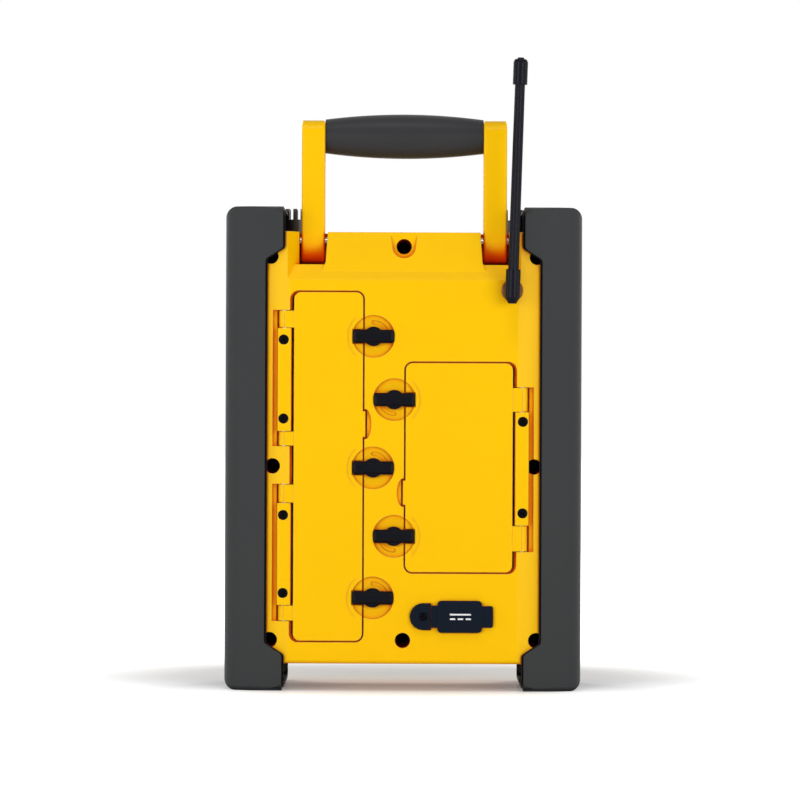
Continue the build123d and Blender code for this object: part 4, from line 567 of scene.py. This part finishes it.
FINISH_OF_NODE: dict[str, Any] = {
    **dict.fromkeys(
        (
            "rear_housing front_housing battery_bay device_bay battery_hinge_bars device_hinge_bar "
            "battery_door device_door handle_arm_left handle_arm_right"
        ).split(),
        YELLOW_ABS,
    ),
    **dict.fromkeys("left_bumper right_bumper".split(), BUMPER_TPE),
    **dict.fromkeys("case_seal battery_door_seal device_door_seal".split(), SEAL_RUBBER),
    **dict.fromkeys(
        (
            "battery_latch_top battery_latch_middle battery_latch_bottom device_latch_top "
            "device_latch_bottom handle_core grille_ring aux_socket dc_jack"
        ).split(),
        BLACK_NYLON,
    ),
    **dict.fromkeys("dc_cover_anchor dc_cover_flap".split(), COVER_RUBBER),
    **dict.fromkeys("antenna_boot antenna_mast antenna_tip".split(), WHIP_RUBBER),
    **dict.fromkeys("antenna_socket antenna_nut".split(), BRONZE),
    **dict.fromkeys("volume_knob tuning_knob".split(), KNOB_ABS),
    **dict.fromkeys("case_screws hinge_bar_screws grille_screws dc_cover_screw".split(), BLACK_OXIDE),
    **dict.fromkeys("hinge_pins handle_pivots board_screws volume_pot tuning_encoder".split(), ZINC_STEEL),
    **dict.fromkeys("battery_springs battery_contacts".split(), NICKEL),
    **dict.fromkeys("speaker_grille speaker_basket".split(), POWDER_COAT),
    **dict.fromkeys("control_board main_board".split(), LAMINATE),
    **dict.fromkeys([f"button_{i}" for i in range(1, 6)], KEY_SILICONE),
    "handle_grip": GRIP_TPE,
    "speaker_cone": PAPER_PULP,
    "speaker_magnet": FERRITE,
    "control_panel": PANEL_ABS,
    "display_window": ACRYLIC,
    "display_module": POLARISER,
}


class Palette:
    """Keeps one material for each finish."""

    def __init__(self) -> None:
        """Starts with no materials."""
        self._made: dict[str, bpy.types.Material] = {}

    def get(self, finish: Any) -> bpy.types.Material:
        """Gives a finish's material, and builds it the first time.

        Args:
            finish: One of the finishes above.

        Returns:
            The material.
        """
        if finish.name not in self._made:
            self._made[finish.name] = finish.make()
        return self._made[finish.name]


# ------------------------------------------------------------------ mesh helpers
def mesh_object(name: str, shape: bmesh.types.BMesh, smooth_below: float = 35.0) -> bpy.types.Object:
    """Turns a bmesh into an object in the scene.

    Args:
        name: The piece's name.
        shape: The mesh in metres; it is freed here.
        smooth_below: Edges sharper than this many degrees stay crisp.

    Returns:
        The new object.
    """
    bmesh.ops.recalc_face_normals(shape, faces=shape.faces)
    mesh = bpy.data.meshes.new(name)
    shape.to_mesh(mesh)
    shape.free()
    mesh.shade_smooth()
    mesh.set_sharp_from_angle(angle=math.radians(smooth_below))
    piece = bpy.data.objects.new(name, mesh)
    bpy.context.scene.collection.objects.link(piece)
    return piece


def lathe(
    shape: bmesh.types.BMesh, profile: Sequence[tuple[float, float]], place: Matrix, steps: int = 48
) -> None:
    """Adds a turned body to a mesh.

    Args:
        shape: The mesh that takes it.
        profile: Radius and height pairs in mm, from the bottom round to the top. A radius of zero closes
            an end.
        place: Moves the turned body, whose axis is Z, to where it belongs.
        steps: Facets round the axis.
    """
    rings: list[list[bmesh.types.BMVert]] = []
    for radius, height in profile:
        count = 1 if radius == 0 else steps
        ring = []
        for i in range(count):
            turn = 2 * math.pi * i / steps
            point = Vector((radius * math.cos(turn), radius * math.sin(turn), height)) * MM
            ring.append(shape.verts.new(place @ point))
        rings.append(ring)
    for low, high in zip(rings, rings[1:]):
        for i in range(steps):
            corners = [
                low[i % len(low)],
                low[(i + 1) % len(low)],
                high[(i + 1) % len(high)],
                high[i % len(high)],
            ]
            unique = list(dict.fromkeys(corners))
            if len(unique) > 2:
                shape.faces.new(unique)


def slab(
    shape: bmesh.types.BMesh, outline: Sequence[tuple[float, float]], place: Matrix, low: float, high: float
) -> None:
    """Adds a flat plate of any outline to a mesh.

    Args:
        shape: The mesh that takes it.
        outline: X and Y pairs in mm, in order round the plate.
        place: Moves the plate, whose faces look along Z, to where it belongs.
        low: Height of its under face in mm.
        high: Height of its upper face in mm.
    """
    below = [shape.verts.new(place @ (Vector((x, y, low)) * MM)) for x, y in outline]
    above = [shape.verts.new(place @ (Vector((x, y, high)) * MM)) for x, y in outline]
    shape.faces.new(below)
    shape.faces.new(above)
    for i in range(len(outline)):
        j = (i + 1) % len(outline)
        shape.faces.new([below[i], below[j], above[j], above[i]])


def cross_head(
    shape: bmesh.types.BMesh,
    place: Matrix,
    head_radius: float,
    head_height: float,
    shank: float,
    length: float,
) -> None:
    """Adds a pan-head screw with a cross recess to a mesh.

    Args:
        shape: The mesh that takes it.
        place: Moves the screw, whose seat is at the origin with the head along +Z, to where it belongs.
        head_radius: Head radius in mm.
        head_height: Head height in mm.
        shank: Shank radius in mm.
        length: Shank length in mm.
    """
    steps = 32
    bevel = 0.18 * head_radius
    arm, half = 0.6 * head_radius, 0.15 * head_radius
    depth = 0.62 * head_height
    heights = [
        (shank * 0.4, -length),
        (shank, -length + shank * 0.6),
        (shank, 0.0),
        (head_radius, 0.0),
        (head_radius, head_height - bevel),
        (head_radius - 0.35 * bevel, head_height - 0.3 * bevel),
        (head_radius - bevel, head_height),
    ]
    rings = []
    for radius, height in heights:
        ring = []
        for i in range(steps):
            turn = 2 * math.pi * i / steps
            point = Vector((radius * math.cos(turn), radius * math.sin(turn), height)) * MM
            ring.append(shape.verts.new(place @ point))
        rings.append(ring)
    shape.faces.new(rings[0])
    for low, high in zip(rings, rings[1:]):
        for i in range(steps):
            j = (i + 1) % steps
            shape.faces.new([low[i], low[j], high[j], high[i]])
    cross = [
        (arm, -half), (arm, half), (half, half), (half, arm), (-half, arm), (-half, half),
        (-arm, half), (-arm, -half), (-half, -half), (-half, -arm), (half, -arm), (half, -half),
    ]
    mouth = [shape.verts.new(place @ (Vector((x, y, head_height)) * MM)) for x, y in cross]
    floor = [
        shape.verts.new(place @ (Vector((x * 0.7, y * 0.7, head_height - depth)) * MM)) for x, y in cross
    ]
    edges = [e for e in {e for v in rings[-1] for e in v.link_edges} if all(v in rings[-1] for v in e.verts)]
    rim = [shape.edges.new([mouth[i], mouth[(i + 1) % 12]]) for i in range(12)]
    bmesh.ops.triangle_fill(shape, use_beauty=True, use_dissolve=False, edges=edges + rim)
    for i in range(12):
        j = (i + 1) % 12
        shape.faces.new([mouth[i], mouth[j], floor[j], floor[i]])
    shape.faces.new(floor)


def islands(node: bpy.types.Object) -> list[tuple[Vector, Vector]]:
    """Finds the separate solids in a node's mesh.

    Args:
        node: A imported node.

    Returns:
        The lowest and highest corner of each solid, in metres, ordered by height and then by side.
    """
    mesh = node.data
    first: dict[tuple[int, int, int], int] = {}
    home = []
    for v in mesh.vertices:
        key = (round(v.co.x * 1e6), round(v.co.y * 1e6), round(v.co.z * 1e6))
        home.append(first.setdefault(key, v.index))
    parent = list(range(len(mesh.vertices)))

    def top(i: int) -> int:
        """Follows a vertex to its solid's first vertex."""
        while parent[i] != i:
            parent[i] = parent[parent[i]]
            i = parent[i]
        return i

    for face in mesh.polygons:
        corners = [home[i] for i in face.vertices]
        for other in corners[1:]:
            parent[top(other)] = top(corners[0])
    boxes: dict[int, list[Vector]] = {}
    for v in mesh.vertices:
        group = boxes.setdefault(top(home[v.index]), [v.co.copy(), v.co.copy()])
        group[0] = Vector(map(min, group[0], v.co))
        group[1] = Vector(map(max, group[1], v.co))
    return sorted(((low, high) for low, high in boxes.values()), key=lambda b: (round(b[0].z, 4), b[0].x))


def facing(direction: Vector, at: Vector, spin: float = 0.0) -> Matrix:
    """A placement whose Z axis looks along a direction.

    Args:
        direction: Where the local Z axis points.
        at: Where the local origin lies, in metres.
        spin: Turn about the local Z axis, in degrees.

    Returns:
        The placement, with local Y as near to straight up as it can be.
    """
    turn = direction.to_track_quat("Z", "Y").to_matrix().to_4x4()
    return Matrix.Translation(at) @ turn @ Matrix.Rotation(math.radians(spin), 4, "Z")


REARWARD = Vector((0.0, 1.0, 0.0))
FORWARD = Vector((0.0, -1.0, 0.0))


# ------------------------------------------------------------------ the radio's sub-assemblies
@dataclass
class Assembly:
    """A group of pieces that are built and dressed together."""

    frame: dict[str, Any]
    palette: Palette

    def node(self, name: str) -> bpy.types.Object:
        """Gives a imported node's object."""
        return self.frame["nodes"][name]

    def dress(self, names: Iterable[str]) -> None:
        """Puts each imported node's finish on it.

        Args:
            names: The nodes to dress.
        """
        for name in names:
            material = self.palette.get(FINISH_OF_NODE[name])
            for place in self.node(name).material_slots:
                place.material = material
            LOG.info("dressed %s in %s", name, material.name)

    def attach(
        self, piece: bpy.types.Object, body: str, slot: str, finish: Any, stands_for: str = ""
    ) -> None:
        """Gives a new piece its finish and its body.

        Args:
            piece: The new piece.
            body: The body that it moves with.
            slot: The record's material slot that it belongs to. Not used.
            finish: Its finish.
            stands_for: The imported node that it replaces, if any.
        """
        piece.data.materials.clear()
        piece.data.materials.append(self.palette.get(finish))
        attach(piece, body)
        if stands_for:
            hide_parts(stands_for)
        LOG.info("built %s on %s", piece.name, body)


@dataclass
class Screws(Assembly):
    """All the screws whose heads can be seen, with cross recesses."""

    head_share: float = 1.0

    def build(self) -> None:
        """Replaces each plain screw with a detailed one in the same place."""
        self._set("hinge_bar_screws", REARWARD, 1.8, 1.5)
        self._set("case_screws", REARWARD, 2.6, 2.0)
        self._set("dc_cover_screw", REARWARD, 1.5, 1.5)
        self._set("grille_screws", FORWARD, 1.4, 1.5)
        self.dress(["board_screws"])

    def _set(self, node: str, direction: Vector, head_height: float, shank: float) -> None:
        """Builds the screws of one node.

        Args:
            node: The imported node.
            direction: Where the heads look.
            head_height: Head height in mm.
            shank: Shank radius in mm.
        """
        shape = bmesh.new()
        for index, (low, high) in enumerate(islands(self.node(node))):
            middle = (low + high) / 2
            top = high.y if direction.y > 0 else low.y
            seat = Vector((middle.x, top - direction.y * head_height * MM, middle.z))
            length = (high.y - low.y) / MM - head_height
            radius = (high.x - low.x) / 2 / MM * self.head_share
            cross_head(shape, facing(direction, seat, 23.0 * index), radius, head_height, shank, length)
        piece = mesh_object(node + "_cross_head", shape)
        self.attach(piece, "casing", "screw_black", BLACK_OXIDE, node)


@dataclass
class Casing(Assembly):
    """The yellow shells, their seal and the two corner bumpers."""

    def build(self) -> None:
        """Dresses the shells and bumpers."""
        self.dress("rear_housing front_housing case_seal left_bumper right_bumper".split())


@dataclass
class RearDoors(Assembly):
    """Both doors with their hinges, seals and the raised guide arcs by the latches."""

    arc_radius: float = 15.4
    arc_width: float = 0.5
    arc_height: float = 0.25
    arc_half_angle: float = 47.0

    def build(self) -> None:
        """Dresses the doors and raises a guide arc round each latch."""
        self.dress("battery_door battery_door_seal battery_hinge_bars hinge_pins battery_bay".split())
        self.dress("battery_springs battery_contacts".split())
        self.dress("device_door device_door_seal device_hinge_bar device_bay aux_socket".split())
        self._arcs("battery_door", "battery_latch_", ("top", "middle", "bottom"), 0.0)
        self._arcs("device_door", "device_latch_", ("top", "bottom"), 180.0)

    def _arcs(self, door: str, stem: str, places: Sequence[str], towards: float) -> None:
        """Adds the raised arcs of one door.

        Args:
            door: The door's body.
            stem: First part of its latches' names.
            places: Last part of each latch's name.
            towards: Direction of the door from the latch, in degrees from +X.
        """
        shape = bmesh.new()
        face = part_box(door)[1].y
        steps = 28
        for place in places:
            low, high = (Vector(corner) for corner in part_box(stem + place))
            middle = (low + high) / 2
            inner, outer = [], []
            for i in range(steps + 1):
                turn = math.radians(towards + self.arc_half_angle * (2 * i / steps - 1))
                for ring, radius in ((inner, self.arc_radius), (outer, self.arc_radius + self.arc_width)):
                    ring.append((radius * math.cos(turn), radius * math.sin(turn)))
            # local X is -X of the radio when Z looks rearward, so the outline is mirrored
            outline = [(-x, y) for x, y in inner + outer[::-1]]
            slab(shape, outline, facing(REARWARD, Vector((middle.x, face, middle.z))), -0.05, self.arc_height)
        self.attach(mesh_object(door + "_guide_arcs", shape), door, "casing_yellow", YELLOW_ABS)


@dataclass
class Latches(Assembly):
    """The five quarter-turn latches."""

    def build(self) -> None:
        """Dresses the latches."""
        self.dress(f"battery_latch_{place}" for place in ("top", "middle", "bottom"))
        self.dress(f"device_latch_{place}" for place in ("top", "bottom"))


@dataclass
class PowerInlet(Assembly):
    """The power jack under its rubber cover, which carries the general direct-current symbol."""

    symbol_x: float = -34.7
    symbol_width: float = 12.6
    symbol_gap: float = 2.7
    line_height: float = 1.0
    ink_height: float = 0.04
    dashes: int = 3
    dash_share: float = 0.68  # of the way from one dash to the next

    def build(self) -> None:
        """Dresses the inlet and prints a line over three dashes on the flap."""
        self.dress("dc_cover_anchor dc_cover_flap dc_jack".split())
        low, high = (Vector(corner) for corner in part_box("dc_cover_flap"))
        centre = Vector((self.symbol_x * MM, high.y, (low.z + high.z) / 2))
        place = facing(REARWARD, centre)
        shape = bmesh.new()
        half = self.symbol_width / 2
        self._bar(shape, place, -half, half, self.symbol_gap / 2)
        pitch = self.symbol_width / (self.dashes - 1 + self.dash_share)
        for i in range(self.dashes):
            start = -half + i * pitch
            self._bar(shape, place, start, start + pitch * self.dash_share, -self.symbol_gap / 2)
        self.attach(mesh_object("inlet_symbol", shape), "cover_flap", "window_clear", WHITE_INK)

    def _bar(self, shape: bmesh.types.BMesh, place: Matrix, start: float, end: float, height: float) -> None:
        """Adds one printed bar.

        Args:
            shape: The mesh that takes it.
            place: The symbol's placement.
            start: Its left end in mm.
            end: Its right end in mm.
            height: Its middle above the symbol's middle, in mm.
        """
        low, high = height - self.line_height / 2, height + self.line_height / 2
        outline = [(start, low), (end, low), (end, high), (start, high)]
        slab(shape, outline, place, -0.01, self.ink_height)


@dataclass
class Aerial(Assembly):
    """The whip aerial on its swivel."""

    def build(self) -> None:
        """Dresses the aerial."""
        self.dress("antenna_socket antenna_nut antenna_boot antenna_mast antenna_tip".split())


@dataclass
class Handle(Assembly):
    """The folding carrying handle."""

    def build(self) -> None:
        """Dresses the handle."""
        self.dress("handle_arm_left handle_arm_right handle_core handle_grip handle_pivots".split())


@dataclass
class Knobs(Assembly):
    """The two crowned knobs on top, with what they turn."""

    def build(self) -> None:
        """Dresses the knobs."""
        self.dress("volume_knob tuning_knob volume_pot tuning_encoder".split())


@dataclass
class Loudspeaker(Assembly):
    """The loudspeaker behind its grille, with the cone's rolled surround."""

    axis_z: float = 0.106
    surround_radius: float = 47.6
    surround_half_width: float = 3.4
    surround_rise: float = 2.2

    def build(self) -> None:
        """Dresses the loudspeaker and rolls the surround."""
        self.dress("speaker_grille grille_ring speaker_basket speaker_cone speaker_magnet".split())
        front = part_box("speaker_cone")[0].y
        place = facing(FORWARD, Vector((0.0, front, self.axis_z)))
        profile = []
        for i in range(13):
            turn = math.pi * i / 12
            profile.append(
                (
                    self.surround_radius + self.surround_half_width * math.cos(turn),
                    0.02 + self.surround_rise * math.sin(turn),
                )
            )
        shape = bmesh.new()
        lathe(shape, [*profile, (self.surround_radius, -0.2), profile[0]], place, 96)
        bmesh.ops.remove_doubles(shape, verts=shape.verts, dist=1e-6)
        self.attach(mesh_object("speaker_surround", shape, 60.0), "casing", "seal_rubber", SEAL_RUBBER)


class Segment(Enum):
    """The bars of a seven-bar numeral, as centre X, centre Y and whether it lies flat, in widths."""

    TOP = (0.0, 1.0, True)
    UPPER_LEFT = (-0.5, 0.5, False)
    UPPER_RIGHT = (0.5, 0.5, False)
    MIDDLE = (0.0, 0.0, True)
    LOWER_LEFT = (-0.5, -0.5, False)
    LOWER_RIGHT = (0.5, -0.5, False)
    BOTTOM = (0.0, -1.0, True)


NUMERALS: dict[str, str] = {
    "0": "1110111",
    "1": "0010010",
    "2": "1011101",
    "3": "1011011",
    "5": "1101011",
    "8": "1111111",
}


@dataclass
class ControlPanel(Assembly):
    """The front panel with its display and keys."""

    time_shown: str = "10:25"
    digit_width: float = 5.6
    digit_pitch: float = 9.2
    bar_width: float = 1.1
    colon_half: float = 0.6
    colon_spread: float = 2.0
    key_text_mm: float = 4.2
    ink_height: float = 0.05

    def build(self) -> None:
        """Dresses the panel, sets the display's numerals and prints the keys."""
        self.dress("control_panel display_window display_module control_board main_board".split())
        self.dress(f"button_{i}" for i in range(1, 6))
        self._numerals()
        for number in range(1, 6):
            self._key_print(number)

    def _numerals(self) -> None:
        """Builds the bars of the clock's numerals on the display."""
        low, high = (Vector(corner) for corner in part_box("display_module"))
        centre = Vector((0.0, low.y, (low.z + high.z) / 2))
        place = facing(FORWARD, centre)
        shape = bmesh.new()
        at = -self.digit_pitch * 2
        for sign in self.time_shown:
            if sign == ":":
                for height in (-self.colon_spread, self.colon_spread):
                    half = self.colon_half
                    square = ((-half, -half), (half, -half), (half, half), (-half, half))
                    dot = [(at + u, height + v) for u, v in square]
                    slab(shape, dot, place, -0.01, self.ink_height)
                at += self.digit_pitch
                continue
            for bar, lit in zip(Segment, NUMERALS[sign]):
                if lit == "1":
                    self._bar(shape, place, at, bar)
            at += self.digit_pitch
        self.attach(mesh_object("display_numerals", shape), "casing", "display_grey", SEGMENT)

    def _bar(self, shape: bmesh.types.BMesh, place: Matrix, at: float, bar: Segment) -> None:
        """Adds one pointed bar of a numeral.

        Args:
            shape: The mesh that takes it.
            place: The display's placement.
            at: The numeral's middle in mm.
            bar: Which of the seven bars.
        """
        x, y, flat = bar.value
        width, half = self.digit_width, self.bar_width / 2
        run = width / 2 - half * 0.8
        neck = run - half
        body = [(-run, 0.0), (-neck, half), (neck, half), (run, 0.0), (neck, -half), (-neck, -half)]
        outline = []
        for u, v in body:
            du, dv = (u, v) if flat else (v, u)
            outline.append((at + x * width + du, y * width + dv))
        slab(shape, outline, place, -0.01, self.ink_height)

    def _key_print(self, number: int) -> None:
        """Prints a key's number.

        Args:
            number: The key's number, from the left.
        """
        low, high = (Vector(corner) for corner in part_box(f"button_{number}"))
        letters = bpy.data.curves.new(f"key_number_{number}", "FONT")
        letters.body = str(number)
        letters.align_x, letters.align_y = "CENTER", "CENTER"
        letters.size = self.key_text_mm * MM
        letters.extrude = self.ink_height * MM
        text = bpy.data.objects.new(f"key_number_{number}_curve", letters)
        mesh = bpy.data.meshes.new_from_object(text)
        bpy.data.objects.remove(text)
        middle = (low + high) / 2
        mesh.transform(facing(FORWARD, Vector((middle.x, low.y, middle.z))))
        piece = bpy.data.objects.new(f"key_number_{number}", mesh)
        bpy.context.scene.collection.objects.link(piece)
        self.attach(piece, f"button_{number}", "window_clear", WHITE_INK)


# ------------------------------------------------------------------ studio
@dataclass(frozen=True)
class Softbox:
    """A rectangular area lamp that looks at the radio's middle."""

    name: str
    at: tuple[float, float, float]
    width: float
    height: float
    watts: float

    def hang(self, aim: Vector) -> None:
        """Hangs the lamp.

        Args:
            aim: The point that it looks at.
        """
        data = bpy.data.lights.new(self.name, "AREA")
        data.shape = "RECTANGLE"
        data.size = self.width
        data.size_y = self.height
        data.energy = self.watts
        lamp = bpy.data.objects.new(self.name, data)
        lamp.location = self.at
        lamp.rotation_euler = (aim - Vector(self.at)).to_track_quat("-Z", "Y").to_euler()
        lamp.visible_camera = False
        bpy.context.scene.collection.objects.link(lamp)


@dataclass
class Studio:
    """Pale floor, white surround, softboxes and the camera; places are in metres."""

    camera_at: tuple[float, float, float] = (0.0021, 3.058, 0.1749)
    camera_lens: float = 225.0
    camera_roll: float = 0.25
    floor_half: float = 12.0
    # the floor's glow falls to floor_glow near the radio and rises again by floor_far: a partly painted
    # shadow
    floor_glow: float = 0.12
    floor_near: float = 0.12
    floor_far: float = 0.3
    floor_shade_at: tuple[float, float, float] = (0.0, -0.1, 0.0)
    floor_gloss_share: float = 0.05
    ambient: float = 0.2
    aim: tuple[float, float, float] = (0.0, 0.0, 0.17)
    lamps: tuple[Softbox, ...] = field(
        default_factory=lambda: (
            Softbox("rear_left_softbox", (1.35, 1.95, 0.45), 1.3, 0.75, 17.3),
            Softbox("rear_right_softbox", (-1.35, 1.95, 0.45), 1.3, 0.75, 18.0),
            Softbox("left_strip", (1.8, 0.3, 0.4), 0.35, 0.7, 4.1),
            Softbox("right_strip", (-1.8, 0.3, 0.4), 0.35, 0.7, 4.1),
            Softbox("top_softbox", (0.05, 0.8, 1.8), 0.5, 0.35, 6.5),
            Softbox("front_left_softbox", (1.35, -1.95, 1.0), 1.3, 0.75, 21.0),
            Softbox("front_right_softbox", (-1.35, -1.95, 1.0), 1.3, 0.75, 21.0),
        )
    )

    def build(self) -> None:
        """Sets up everything round the radio."""
        self._camera()
        self._world()
        self._floor()
        for lamp in self.lamps:
            lamp.hang(Vector(self.aim))
        bpy.context.scene.view_settings.view_transform = "Standard"

    def _camera(self) -> None:
        """Places the level camera behind the radio."""
        data = bpy.data.cameras.new("camera")
        data.lens = self.camera_lens
        data.sensor_width = 36.0
        data.clip_end = 100.0
        camera = bpy.data.objects.new("camera", data)
        camera.location = self.camera_at
        level = Vector((0.0, -1.0, 0.0)).to_track_quat("-Z", "Y")
        roll = Matrix.Rotation(math.radians(self.camera_roll), 4, "Z").to_quaternion()
        camera.rotation_mode = "QUATERNION"
        camera.rotation_quaternion = level @ roll
        bpy.context.scene.collection.objects.link(camera)
        bpy.context.scene.camera = camera

    @staticmethod
    def _seen(tree: bpy.types.NodeTree) -> bpy.types.NodeSocket:
        """Adds nodes that give one where the camera, a mirror or glass looks, and zero for spread light.

        Args:
            tree: The node tree that takes them.

        Returns:
            The socket with the result.
        """
        rays = add_node(tree, "LightPath")
        mirrored = add_node(
            tree,
            "Math",
            {"operation": "MAXIMUM"},
            {0: rays.outputs["Is Glossy Ray"], 1: rays.outputs["Is Transmission Ray"]},
        )
        both = add_node(
            tree,
            "Math",
            {"operation": "MAXIMUM"},
            {0: rays.outputs["Is Camera Ray"], 1: mirrored.outputs["Value"]},
        )
        return both.outputs["Value"]

    def _world(self) -> None:
        """Makes a white surround that sheds less light than it shows."""
        world = bpy.data.worlds.new("studio_white")
        world.use_nodes = True
        bpy.context.scene.world = world
        tree = world.node_tree
        tree.nodes.clear()
        strength = add_node(
            tree, "MapRange", {"To Min": self.ambient, "To Max": 1.0}, {"Value": self._seen(tree)}
        )
        light = add_node(
            tree, "Background", {"Color": linear("#FFFFFF")}, {"Strength": strength.outputs["Result"]}
        )
        add_node(tree, "OutputWorld", {}, {"Surface": light.outputs["Background"]})

    def _floor(self) -> None:
        """Lays a pale, faintly glossy floor that keeps the radio's shadow, with its glow faded round the
        radio as a painted shadow.
        """
        material, tree = new_material("floor_pale_paper")
        paper = add_node(tree, "BsdfDiffuse", {"Color": linear("#EBEBEB")})
        shine = add_node(tree, "BsdfGlossy", {"Color": linear("#FFFFFF"), "Roughness": 0.12})
        sheet = add_node(
            tree,
            "MixShader",
            {0: self.floor_gloss_share},
            {1: paper.outputs["BSDF"], 2: shine.outputs["BSDF"]},
        )
        place = add_node(tree, "TexCoord").outputs["Object"]
        # Painted shadow: the glow seen by the camera and mirrors fades near this point, so the floor darkens
        # round the radio where the real shadow also falls.
        reach = add_node(tree, "VectorMath", {"operation": "DISTANCE", 1: self.floor_shade_at}, {0: place})
        share = add_node(
            tree,
            "MapRange",
            {
                "interpolation_type": "SMOOTHSTEP",
                "From Min": self.floor_near,
                "From Max": self.floor_far,
                "To Min": self.floor_glow,
                "To Max": 1.0,
            },
            {"Value": reach.outputs["Value"]},
        )
        strength = add_node(
            tree, "Math", {"operation": "MULTIPLY"}, {0: self._seen(tree), 1: share.outputs["Result"]}
        )
        glow = add_node(
            tree, "Emission", {"Color": linear("#FFFFFF")}, {"Strength": strength.outputs["Value"]}
        )
        both = add_node(tree, "AddShader", {}, {0: sheet.outputs["Shader"], 1: glow.outputs["Emission"]})
        add_node(tree, "OutputMaterial", {}, {"Surface": both.outputs["Shader"]})
        shape = bmesh.new()
        half = self.floor_half
        corners = [(-half, -half), (half, -half), (half, half), (-half, half)]
        shape.faces.new([shape.verts.new((x, y, 0.0)) for x, y in corners])
        floor = mesh_object("floor", shape)
        floor.data.materials.append(material)


def main() -> None:
    """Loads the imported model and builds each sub-assembly in order."""
    logging.basicConfig(level=logging.INFO, format="%(name)s: %(message)s")
    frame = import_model()
    palette = Palette()
    for kind in (
        Casing, Screws, RearDoors, Latches, PowerInlet, Aerial, Handle, Knobs, Loudspeaker, ControlPanel,
    ):
        kind(frame, palette).build()
        LOG.info("%s is complete", kind.__name__)
    Studio().build()


if __name__ == "__main__":
    main()
